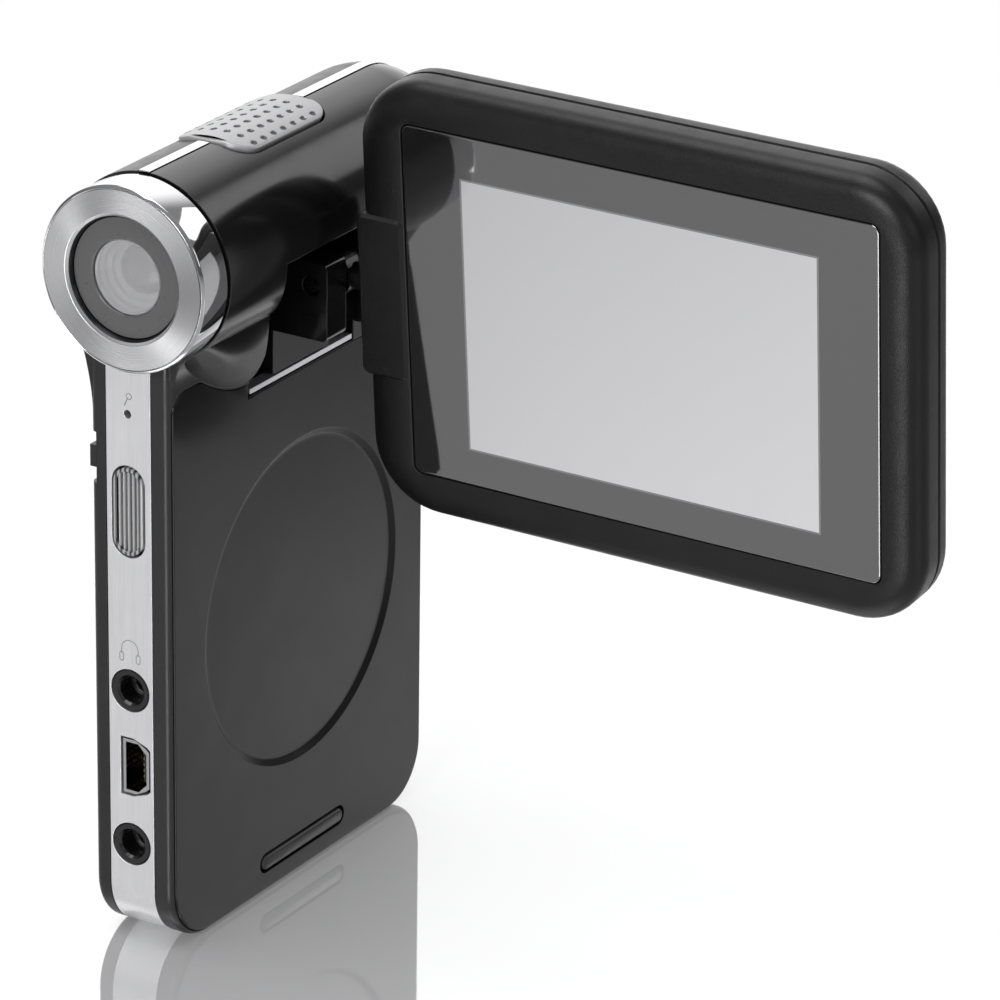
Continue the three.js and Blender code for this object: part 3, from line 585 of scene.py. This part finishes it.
def grip():
    edge, steps = 1.2, 7
    turn = [math.pi / 2 * i / steps for i in range(steps + 1)]
    half = [(edge * (1 - math.sin(a)), HX - edge * (1 - math.cos(a))) for a in turn]
    sections = [(d, -x) for d, x in half] + [(d, x) for d, x in half[::-1]]
    bm = bmesh.new()
    rings(bm, [on_side(grip_outline(d), x) for d, x in sections])
    return bm


def strip_path(thickness, end, top):
    """Side view of the strip, in (y, z): down the front, round the corner and under."""
    r = 8 - thickness
    bend = [(-HY + 8 - 8 * math.cos(a), 8 - 8 * math.sin(a)) for a in quarter(24)]
    outer = [(-HY, top)] + bend + [(end, 0)]
    inner = [(end, thickness)] + [(-HY + 8 - r * math.cos(a), 8 - r * math.sin(a)) for a in quarter(24)][::-1]
    return outer + inner + [(-HY + thickness, top)]


def quarter(steps):
    return [math.pi / 2 * i / steps for i in range(steps + 1)]


def usb_outline(grow):
    x0, x1, half = 0.4 - 1.95 - grow, 0.4 + 1.95 + grow, 3.7 + grow
    right = [(x0 + 1.9, half), (x1 - 0.5, half - 0.75), (x1, half - 1.2)]
    points = [(x0, -half)] + [(x, -z) for x, z in right] + right[::-1] + [(x0, half)]
    return [(x, USB_Z + z) for x, z in points]


def port_openings():
    lamp = (PORT_X - 2.5, PORT_X + 2.5, LAMP_Z - 6.15, LAMP_Z + 6.15, 2.45)
    outlines = [circle(PORT_X, AUDIO_Z, 2.9, 72), circle(PORT_X, AV_Z, 2.9, 72), usb_outline(0.3),
                inset_rect(lamp, 0), circle(PORT_X, MIC_Z, 0.55, 32)]
    return [prism(points, "Y", -HY - 1, -HY + 3.6) for points in outlines]


def rocker_opening():
    middle, half = math.radians(-2.6), math.radians(27.2) * ROCKER_R
    bm = bmesh.new()
    rect = (-half, half, -15.4, 4.3, 3.3)
    rings(bm, [[on_barrel(middle + u / ROCKER_R, r, y) for u, y in inset_rect(rect, -0.35, 10)]
               for r in (10.0, 14.0)])
    return bm


def trim_outline(inner, outer, half_width, steps=8):
    """Cross-section of the strip let into the barrel's top, in (x, z)."""
    def side(r, sign):
        angles = [math.radians(-2.5) + sign * half_width / BARREL_R * (2 * i / steps - 1)
                  for i in range(steps + 1)]
        return [(BARREL_X + r * math.sin(a), BARREL_Z + r * math.cos(a)) for a in angles]
    return side(outer, 1) + side(inner, -1)


def trim_bar(inner, outer, half_width, y0, y1):
    """The trim strip, following the barrel and its rounded back end."""
    bm = bmesh.new()
    section = trim_outline(inner, outer, half_width)
    loops = []
    for i in range(25):
        y = y0 + (y1 - y0) * i / 24
        k = dome_scale(y)
        loops.append([(BARREL_X + k * (x - BARREL_X), y, BARREL_Z + k * (z - BARREL_Z)) for x, z in section])
    rings(bm, loops)
    return bm


def hollow():
    """The space inside the casing."""
    room = combine(prism(grip_outline(2.0, 76), "X", -HX + 1.3, HX - 2.2),
                   [block(-20, 20, -HY + 2.6, 40, -5, 90)], "INTERSECT")
    room = combine(room, [block(-HX + 1.35, HX - 2.25, -HY + 2.65, 19.4, 60, 86),
                          prism(circle(BARREL_X, BARREL_Z, 10.85, 72), "Y", -32, 19.3)], "UNION")
    return combine(room, [block(2.6, 20, -13.3, 13.3, 68.8, 92.3)])


def make_casing():
    plan = [(RECESS_X, -12), (8.2, -12), (16.85, -18), (16.85, 18), (8.2, 12), (RECESS_X, 12)]
    whole = combine(grip(), [housing(), cheek()], "UNION")
    wrap = strip_path(1.35, -8.85, 79.75)
    wrap_cut = [(-40, 79.75), (-40, -10), (-8.85, -10)] + wrap[len(wrap) // 2:]
    buttons = [prism(rounded(-2.7, 2.7, z - 3.1, z + 3.1, 2), "Y", HY - 3, HY + 1)
               for z in REAR_BUTTONS.values()]
    whole = combine(whole, [prism(plan, "Z", LEDGE_Z, 91), hollow(),
                            prism(wrap_cut, "X", STRIP_X0 - 0.15, STRIP_X1 + 0.15), rocker_opening(),
                            trim_bar(11.4, 14, 0.95, -30, 25.6), *buttons, *port_openings(),
                            prism(circle(BARREL_X, BARREL_Z, 4.4, 72), "Y", 15, 32),
                            prism(circle(0, 12, 3.45, 64), "Z", -1, 6.2)])
    keep = bpy.data.meshes.new("whole_casing")
    whole.to_mesh(keep)
    whole.free()
    for side in ("right", "left"):
        bm = bmesh.new()
        bm.from_mesh(keep)
        if side == "right":
            region = [(0.95, -5), (40, -5), (40, 120), (2.35, 120), (2.35, 95), (0.95, 95)]
            bm = combine(bm, [prism(region, "Y", -60, 60)], "INTERSECT")
            bm = combine(bm, [prism(panel_outline(-0.12), "X", HX - 1.12, HX + 3)])
            piece("right_shell_gloss", bm, "gloss", instead_of=["right_shell"], even=True)
        else:
            region = [(-40, -5), (0.65, -5), (0.65, 95), (2.05, 95), (2.05, 120), (-40, 120)]
            bm = combine(bm, [prism(region, "Y", -60, 60)], "INTERSECT")
            bm = combine(bm, left_cuts())
            piece("left_shell_satin", bm, "shell", instead_of=["left_shell"], even=True)
    bpy.data.meshes.remove(keep)
    strip = combine(prism(strip_path(1.2, -9, 79.6), "X", STRIP_X0, STRIP_X1), port_openings())
    piece("front_strip_silver", strip, "strip", instead_of=["front_strip"], even=True)
    for name, y0, y1 in (("trim_front", -28.9, -16.0), ("trim_rear", 4.9, 25.3)):
        bm = trim_bar(11.65, 12.26, 0.8, y0, y1)
        piece(f"{name}_silver", bm, "polished", instead_of=[name])
    soften("battery_door", "shell", 0.12)
    soften("tripod_bush", "steel", 0.1)
    for i in range(4):
        soften(f"shell_screw_{i + 1}", "steel", 0.06)


def left_cuts():
    cuts = [prism(inset_rect(DOOR, 0), "X", -HX - 1, -HX + 1.3),
            block(-HX - 1, -HX + 1.6, -7.5, HY - 3, 12, 58),
            block(-HX - 1, -HX + 1.0, -HY - 1, -26.4, 62, 68.8)]
    for y, z in SHELL_SCREWS:
        cuts.append(prism(circle(y, z, 1.6, 40), "X", -HX - 1, -HX + 0.8))
    for row in (-1, 0, 1):
        for column in (-1.5, -0.5, 0.5, 1.5):
            cuts.append(prism(circle(-20.5 + column * 1.8, 46.5 + row * 1.8, 0.5, 20), "X", -HX - 1, -HX + 2))
    return cuts


def panel_top(y):
    """Height of the side panel's top edge where the cheek bulges down over it."""
    t = (y + 28.3) / 15.9
    drop = math.sin(max(0.0, min(1.0, t)) * math.pi / 2)
    return min(75.6, 84.1 - (4.9 + 8.3 * drop) * 0.927)


def panel_outline(d):
    """The side panel's outline in (y, z), pulled in by d."""
    y1, low, r = HY - 0.62 - d, 0.62 + d, 7.4 - d
    points = arc(y1 - r, low + r, r, -math.pi / 2, 16)
    points += [(y1, LEDGE_Z - 0.17 - d), (-12.1 - d, LEDGE_Z - 0.17 - d)]
    steps = 22
    for i in range(steps + 1):
        y = -12.1 - d - (28.7 - 12.1 - 2.4 - d) * i / steps
        points.append((y, panel_top(y) - d))
    points += arc(-y1 + 2.4, 75.6 - 0.1 - 2.4 - d, 2.4, math.pi / 2, 8)[1:]
    return points + arc(-y1 + r, low + r, r, math.pi, 16)


def circle(cy, cz, r, sides=128):
    angles = [2 * math.pi * i / sides for i in range(sides)]
    return [(cy + r * math.cos(a), cz + r * math.sin(a)) for a in angles]


def on_side(points, x):
    return [(x, y, z) for y, z in points]


def loop_edges(bm, verts):
    return [bm.edges.get((a, b)) or bm.edges.new((a, b)) for a, b in zip(verts, verts[1:] + verts[:1])]


def make_panel():
    bm = bmesh.new()
    dish = (0.2, 38.6)
    outer = rings(bm, [on_side(panel_outline(0), HX - 1.0), on_side(panel_outline(0), HX - 0.16),
                       on_side(panel_outline(0.05), HX - 0.05), on_side(panel_outline(0.18), HX)], True, False)
    profile = [(22.3, 0.0), (22.22, 0.02), (22.14, 0.07), (21.55, 0.46), (21.47, 0.5), (21.35, 0.52),
               (20.9, 0.52), (17.0, 0.465), (13.0, 0.42), (9.0, 0.39), (5.0, 0.375)]
    inner = rings(bm, [on_side(circle(*dish, r), HX - depth) for r, depth in profile], False, True)
    slot = (-9.6, 10.2, 2.95, 5.65, 1.34)
    slot_steps = ((-0.12, 0.0), (-0.03, 0.04), (0, 0.15), (0, 0.95))
    slot_loops = [on_side(inset_rect(slot, d, 8), HX - depth) for d, depth in slot_steps]
    slot_walls = rings(bm, slot_loops, False, True)
    edges = loop_edges(bm, outer[-1]) + loop_edges(bm, inner[0]) + loop_edges(bm, slot_walls[0])
    bmesh.ops.triangle_fill(bm, edges=edges, use_beauty=True, normal=(1, 0, 0))
    piece("side_panel_gloss", bm, "panel", instead_of=["side_panel"], even=True)
    bm = bmesh.new()
    bar = (-9.1, 9.7, 3.35, 5.25, 0.94)
    rings(bm, [on_side(inset_rect(bar, d, 8), x) for d, x in
               ((0, HX - 0.9), (0, HX - 0.12), (0.06, HX + 0.05), (0.2, HX + 0.17), (0.45, HX + 0.25))])
    piece("rest_pad_bar", bm, "pad", instead_of=["rest_pad"])


# ---- lens ----
def make_lens():
    axis = (BARREL_X, 0, BARREL_Z)
    face = rounded_step([(8.05, -34.35), (8.4, -34.68), (11.45, -34.68)], 0.08)
    back = [(11.45, -34.0), (8.6, -33.0), (8.05, -33.0), (8.05, -34.35)]
    piece("ring_face", turned(face + back), "spun", origin=axis, instead_of=["lens_ring"])
    band = rounded_step([(11.5, -34.62), (11.62, -34.7), (11.98, -34.35), (11.98, -29.5),
                         (11.3, -29.5)], 0.12)
    groove = [(11.3, -28.0), (10.6, -28.0), (10.6, -34.2), (11.5, -34.2), (11.5, -34.62)]
    piece("ring_band", turned(band + groove), "polished")
    funnel = [(8.05, -34.3), (7.85, -33.9), (7.75, -33.2), (7.75, -31.6), (9.0, -31.6), (9.0, -33.0),
              (8.05, -33.0), (8.05, -34.3)]
    piece("ring_funnel", turned(funnel), "dark_gloss")
    plate = rounded_step([(7.7, -33.0), (7.7, -33.68), (5.05, -33.68), (4.9, -33.55), (4.9, -33.0)], 0.1)
    piece("lens_plate_grey", turned(plate + [(7.7, -33.0)]), "lens_grey",
          instead_of=["lens_plate"])
    dome = [(0.001, -33.66), (1.5, -33.65), (3.0, -33.62), (4.2, -33.56), (4.7, -33.5), (4.8, -33.4),
            (4.8, -33.05), (0.001, -33.05)]
    piece("lens_window_clear", turned(dome, 96), "window", instead_of=["lens_window"])
    steps = [(7.6, -32.6), (4.75, -32.6), (4.75, -31.9), (4.3, -31.9), (4.3, -31.2), (3.7, -31.0),
             (3.7, -30.4), (3.1, -30.2), (3.1, -29.6), (7.6, -29.6), (7.6, -32.6)]
    piece("lens_baffle", turned(steps, 96), "baffle")
    eye = [(0.001, -31.15), (0.8, -31.1), (1.6, -30.95), (2.3, -30.7), (2.9, -30.35), (3.05, -30.1),
           (3.05, -29.7), (0.001, -29.7)]
    piece("front_element_dome", turned(eye, 96), "lens", instead_of=["front_element"])
    soften("lens_tube", "port", 0)
    soften("rear_element", "lens", 0)
    soften("image_sensor", "cell", 0.05)
    soften("sensor_board", "board", 0.05)


# ---- top ----
def on_barrel(angle, r, y):
    return (BARREL_X + r * math.sin(angle), y, BARREL_Z + r * math.cos(angle))


def dimple_depth(angle, y):
    """Depth of the dimples at a place on the rocker, in millimetres."""
    pitch_angle, pitch_y = math.radians(9.1), 2.2
    column = round((angle - math.radians(1.6)) / pitch_angle)
    row = round((y + 5.6) / pitch_y)
    if abs(row) > 3 or column < -3 or column > 2:
        return 0.0
    du = (angle - math.radians(1.6) - column * pitch_angle) * ROCKER_R
    dv = y + 5.6 - row * pitch_y
    away = math.hypot(du, dv * 0.82) / 0.43
    return 0.2 * max(0.0, 1 - away ** 2) ** 0.5 if away < 1 else 0.0


def make_rocker():
    bm = bmesh.new()
    middle, half = math.radians(-2.6), math.radians(27.2) * ROCKER_R
    rect = (-half, half, -15.4, 4.3, 3.3)
    loops = []
    for d, r in ((0.0, 11.4), (0.0, 12.35), (0.04, 12.48), (0.14, 12.58), (0.3, 12.64), (0.55, 12.67)):
        loops.append([on_barrel(middle + u / ROCKER_R, r, y) for u, y in inset_rect(rect, d, 10)])
    rings(bm, loops, True, False)
    steps_u, steps_y = 110, 170
    flat = (rect[0] + 0.55, rect[1] - 0.55, rect[2] + 0.55, rect[3] - 0.55, rect[4] - 0.55)

    def squeeze(u, v):
        """A point of the unit square, moved inside the rounded rectangle."""
        x0, x1, y0, y1, r = flat
        y = y0 + (y1 - y0) * v
        short = max(0.0, r - min(y - y0, y1 - y))
        pull = r - math.sqrt(max(0.0, r * r - short * short))
        return x0 + pull + (x1 - x0 - 2 * pull) * u, y

    grid = []
    for j in range(steps_y + 1):
        row = []
        for i in range(steps_u + 1):
            u, y = squeeze(i / steps_u, j / steps_y)
            angle = middle + u / ROCKER_R
            row.append(bm.verts.new(on_barrel(angle, 12.67 - dimple_depth(angle, y), y)))
        grid.append(row)
    for j in range(steps_y):
        for i in range(steps_u):
            bm.faces.new((grid[j][i], grid[j][i + 1], grid[j + 1][i + 1], grid[j + 1][i]))
    bm.faces.index_update()
    # Faces inside the dimples take the dark copy of the silver, which is painted shade in the hollows.
    painted_shade_faces = {f.index for f in bm.faces if is_dimple(f.calc_center_median())}
    pad = piece("zoom_rocker_pad", bm, "rocker", "zoom_rocker_body", ["zoom_rocker"])
    pad.data.materials.append(MATERIAL["painted_dimple_shade"])
    for polygon in pad.data.polygons:
        polygon.material_index = 1 if polygon.index in painted_shade_faces else 0


def is_dimple(at):
    angle = math.atan2(at.x - BARREL_X, at.z - BARREL_Z)
    return dimple_depth(angle, at.y) > 0.03


# ---- front strip details ----
def make_ports():
    for name in ("audio_jack", "av_jack"):
        soften(name, "port", 0.06)
    soften("usb_shell", "polished", 0.05)
    soften("usb_tongue", "port", 0.05)
    soften("microphone", "steel", 0.05)
    soften("lamp_led_1", "led", 0.05)
    soften("lamp_led_2", "led", 0.05)
    for i in range(5):
        bm = bmesh.new()
        z = USB_Z - 1.6 + 0.8 * i
        rings(bm, [in_xz(rounded(0.62, 0.92, z - 0.17, z + 0.17, 0.05, 3), y) for y in (-27.9, -23.0)])
        piece(f"usb_contact_{i + 1}", bm, "gold")
    for z in (AUDIO_Z, AV_Z):
        bm = bmesh.new()
        loops = []
        for r, y in ((1.78, -26.0), (1.78, -18.5), (1.5, -18.5), (1.5, -26.0), (1.78, -26.0)):
            loops.append([(x, y, zz) for x, zz in circle(PORT_X, z, r, 40)])
        rings(bm, loops, False, False)
        bmesh.ops.remove_doubles(bm, verts=bm.verts, dist=1e-4)
        piece(f"jack_contact_{int(z)}", bm, "steel")


def make_lamp():
    """The ribbed window over the lamps."""
    bm = bmesh.new()
    rect = (PORT_X - 2.2, PORT_X + 2.2, LAMP_Z - 5.85, LAMP_Z + 5.85, 2.18)
    outer = [in_xz(inset_rect(rect, d, 12), y) for d, y in
             ((0.0, -27.2), (0.0, -29.42), (0.05, -29.5), (0.18, -29.55), (0.42, -29.55), (0.5, -29.45))]
    rings(bm, outer, True, False)
    x0, x1, z0, z1, r = (rect[0] + 0.5, rect[1] - 0.5, rect[2] + 0.5, rect[3] - 0.5, rect[4] - 0.5)
    columns, rows = 72, 60
    grid = []
    for j in range(rows + 1):
        z = z0 + (z1 - z0) * j / rows
        short = max(0.0, r - min(z - z0, z1 - z))
        pull = r - math.sqrt(max(0.0, r * r - short * short))
        row = []
        for i in range(columns + 1):
            x = x0 + pull + (x1 - x0 - 2 * pull) * i / columns
            rib = 0.5 + 0.5 * math.cos(2 * math.pi * (x - PORT_X) / RIB_PITCH)
            row.append(bm.verts.new((x, -29.45 + 0.3 * (1 - rib), z)))
        grid.append(row)
    for j in range(rows):
        for i in range(columns):
            bm.faces.new((grid[j][i], grid[j][i + 1], grid[j + 1][i + 1], grid[j + 1][i]))
    piece("lamp_window_ribbed", bm, "lamp", instead_of=["lamp_window"])


def stroke(name, points, width, y, material="mark", closed=False):
    """A thin raised line on the front strip through (x, z) points."""
    curve = bpy.data.curves.new(name, "CURVE")
    curve.dimensions = "3D"
    curve.bevel_depth = width / 2 * MM
    curve.bevel_resolution = 2
    spline = curve.splines.new("POLY")
    spline.points.add(len(points) - 1)
    for p, (x, z) in zip(spline.points, points):
        p.co = (x * MM, y * MM, z * MM, 1)
    spline.use_cyclic_u = closed
    made = bpy.data.objects.new(name, curve)
    bpy.context.scene.collection.objects.link(made)
    curve.materials.append(MATERIAL[material])
    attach(made, "camcorder")
    return made


def make_marks():
    y = -29.36
    angles = [math.pi * i / 14 for i in range(15)]
    half = [(PORT_X + 1.25 * math.cos(a), 40.6 + 1.25 * math.sin(a)) for a in angles]
    stroke("headphone_band", [(PORT_X + 1.25, 39.9)] + half + [(PORT_X - 1.25, 39.9)], 0.16, y)
    for side in (-1, 1):
        x = PORT_X + side * 1.25
        cup = rounded(x - 0.28, x + 0.28, 38.9, 40.1, 0.25, 4)
        stroke(f"headphone_cup_{side + 2}", cup, 0.16, y, closed=True)
    stroke("microphone_head", circle(PORT_X + 0.25, 74.6, 0.38, 20), 0.16, y, closed=True)
    stroke("microphone_stem", [(PORT_X + 0.0, 74.25), (PORT_X - 0.45, 73.3)], 0.2, y)


# ---- controls ----
def make_controls():
    soften("record_button", "silver", 0.15)
    soften("macro_slide", "button", 0.18)
    for name in ("power_button", "menu_button", "up_button", "down_button"):
        soften(name, "button", 0.2)
    turn = [math.radians(120 + 300 * i / 18) for i in range(19)]
    marks = {"power": [(0.9 * math.cos(a), 0.9 * math.sin(a)) for a in turn],
             "menu": [(-0.8, 0.0), (0.8, 0.0)],
             "up": [(-0.8, -0.4), (0.0, 0.5), (0.8, -0.4)],
             "down": [(-0.8, 0.4), (0.0, -0.5), (0.8, 0.4)]}
    for name, points in marks.items():
        raised = [(x, REAR_BUTTONS[name] + dz) for x, dz in points]
        made = stroke(f"{name}_mark", raised, 0.18, HY + 0.57, "mark")
        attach(made, f"{name}_button_body")


def make_inside():
    soften("battery", "cell", 0.2)
    soften("main_board", "board", 0.05)
    soften("card_socket", "steel", 0.05)
    soften("memory_card", "port", 0.1)
    soften("speaker", "steel", 0.1)


# ---- hinge and screen ----
def make_hinge():
    soften("hinge_base", "dark_gloss", 0.25, segments=3)
    soften("hinge_plate", "strip", 0.08)
    soften("fold_pin", "dark_steel", 0.1)
    soften("hinge_arm", "dark_steel", 0.1)
    soften("hinge_block", "soft", 0.25, segments=3)
    soften("block_screw_1", "steel", 0.06)
    soften("block_screw_2", "steel", 0.06)
    soften("display_panel", "cell", 0.1)
    soften("screen_board", "board", 0.05)


def make_screen():
    bm = bmesh.new()
    outer = ((1.4, 0.72), (0.35, 0.72), (0.28, 0.62), (0.0, 0.48), (0.0, -1.5), (0.07, -2.0),
             (0.25, -2.5), (0.6, -3.0), (1.1, -3.45), (1.8, -3.8), (2.6, -4.0), (3.5, -4.09))
    loops = [in_xz(inset_rect(SCREEN, d), y) for d, y in outer]
    hole = (GLASS[0] - 0.14, GLASS[1] + 0.14, GLASS[2] - 0.14, GLASS[3] + 0.14, 1.3)
    inner = ((-0.25, -4.1), (-0.06, -4.06), (0, -3.95), (0, -3.1), (1.4, -3.1), (1.4, 0.72))
    loops += [in_xz(inset_rect(hole, d), y) for d, y in inner]
    rings(bm, loops, False, False)
    piece("screen_bezel_soft", bm, "soft", "screen", ["screen_bezel"], screen=True)
    bm = bmesh.new()
    outer = ((1.4, 0.86), (0.35, 0.86), (0.28, 0.96), (0.0, 1.1), (0.0, 2.1), (0.08, 2.6),
             (0.3, 3.1), (0.7, 3.55), (1.25, 3.85), (2.0, 4.03), (3.0, 4.1))
    rings(bm, [in_xz(inset_rect(SCREEN, d), y) for d, y in outer], False, True)
    piece("screen_back_soft", bm, "soft", "screen", ["screen_back"], screen=True)
    bm = bmesh.new()
    rings(bm, [in_xz(inset_rect(GLASS, d), y) for d, y in
               ((0.0, -3.15), (0.0, -3.95), (0.03, -4.02), (0.1, -4.05), (0.2, -4.06))])
    glass = piece("screen_glass_sheet", bm, "screen", "screen", ["screen_glass"])
    glass.matrix_world = Matrix.Translation((0, 0, AXIS_Z * MM)) @ Matrix.Rotation(TILT, 4, "X")
    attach(glass, "screen")


# ---- stage ----
def area_light(name, size, power, place, target, size_y=None):
    data = bpy.data.lights.new(name, "AREA")
    data.shape = "RECTANGLE"
    data.size = size
    data.size_y = size_y or size
    data.energy = power
    light = bpy.data.objects.new(name, data)
    bpy.context.scene.collection.objects.link(light)
    light.location = place
    light.rotation_euler = (Vector(target) - Vector(place)).to_track_quat("-Z", "Y").to_euler()
    return light


def make_stage():
    bpy.ops.mesh.primitive_plane_add(size=8, location=(0, 0, -0.00002))
    floor = bpy.context.object
    floor.name = "floor"
    n = Nodes("floor_pale")
    n.set(Base_Color=grey(0.44), Roughness=0.035, IOR=4.5, Emission_Color=grey(1.0), Emission_Strength=0.13)
    floor.data.materials.append(n.material)
    world = bpy.data.worlds.new("soft_world")
    bpy.context.scene.world = world
    world.use_nodes = True
    tree = world.node_tree
    place = tree.nodes.new("ShaderNodeTexCoord").outputs["Generated"]
    split = tree.nodes.new("ShaderNodeSeparateXYZ")
    tree.links.new(place, split.inputs[0])
    ramp = tree.nodes.new("ShaderNodeValToRGB")
    ramp.color_ramp.elements[0].position = 0.0
    ramp.color_ramp.elements[0].color = grey(0.1)
    ramp.color_ramp.elements[1].position = 0.75
    ramp.color_ramp.elements[1].color = grey(0.34)
    tree.links.new(split.outputs[2], ramp.inputs[0])
    toward = tree.nodes.new("ShaderNodeVectorMath")
    toward.operation = "DOT_PRODUCT"
    toward.inputs[1].default_value = Vector((-0.55, 0.77, 0.34)).normalized()
    tree.links.new(place, toward.inputs[0])
    behind = tree.nodes.new("ShaderNodeMapRange")
    behind.interpolation_type = "SMOOTHSTEP"
    behind.inputs["From Min"].default_value = 0.72
    behind.inputs["From Max"].default_value = 0.93
    tree.links.new(toward.outputs["Value"], behind.inputs["Value"])
    backdrop = tree.nodes.new("ShaderNodeMix")
    backdrop.data_type = "RGBA"
    backdrop.inputs[7].default_value = (1.6, 1.6, 1.6, 1)
    tree.links.new(behind.outputs[0], backdrop.inputs[0])
    tree.links.new(ramp.outputs[0], backdrop.inputs[6])
    seen = tree.nodes.new("ShaderNodeLightPath").outputs["Is Camera Ray"]
    mix = tree.nodes.new("ShaderNodeMix")
    mix.data_type = "RGBA"
    mix.inputs[7].default_value = (1, 1, 1, 1)
    tree.links.new(seen, mix.inputs[0])
    tree.links.new(backdrop.outputs[2], mix.inputs[6])
    tree.links.new(mix.outputs[2], tree.nodes["Background"].inputs[0])
    target = (0.02, 0, 0.06)
    area_light("top", 0.55, 3.2, (-0.1, -0.1, 0.8), target)
    area_light("front", 0.3, 2.7, (0.05, -0.75, 0.3), target)
    area_light("side", 0.25, 0.4, (0.75, -0.3, 0.35), target)
    area_light("back", 0.4, 0.8, (0.35, 0.75, 0.5), target)


def make_camera():
    data = bpy.data.cameras.new("camera")
    data.lens = 227.3
    data.sensor_width = 36
    data.clip_start = 0.05
    camera = bpy.data.objects.new("camera", data)
    bpy.context.scene.collection.objects.link(camera)
    azimuth, elevation, roll = (math.radians(v) for v in (31.209, 22.401, 0.801))
    right = Vector((math.cos(azimuth), math.sin(azimuth), 0))
    level = Vector((math.sin(azimuth), -math.cos(azimuth), 0))
    back = level * math.cos(elevation) + Vector((0, 0, math.sin(elevation)))
    up = back.cross(right)
    x = right * math.cos(roll) + up * math.sin(roll)
    y = up * math.cos(roll) - right * math.sin(roll)
    turned_to = Matrix((x, y, back)).transposed().to_4x4()
    camera.matrix_world = Matrix.Translation(Vector(CAMERA_PLACE) * MM) @ turned_to
    bpy.context.scene.camera = camera


make_camera()
make_stage()
make_casing()
make_panel()
make_lens()
make_rocker()
make_ports()
make_lamp()
make_marks()
make_controls()
make_inside()
make_hinge()
make_screen()

view = bpy.context.scene.view_settings
view.view_transform = "Standard"
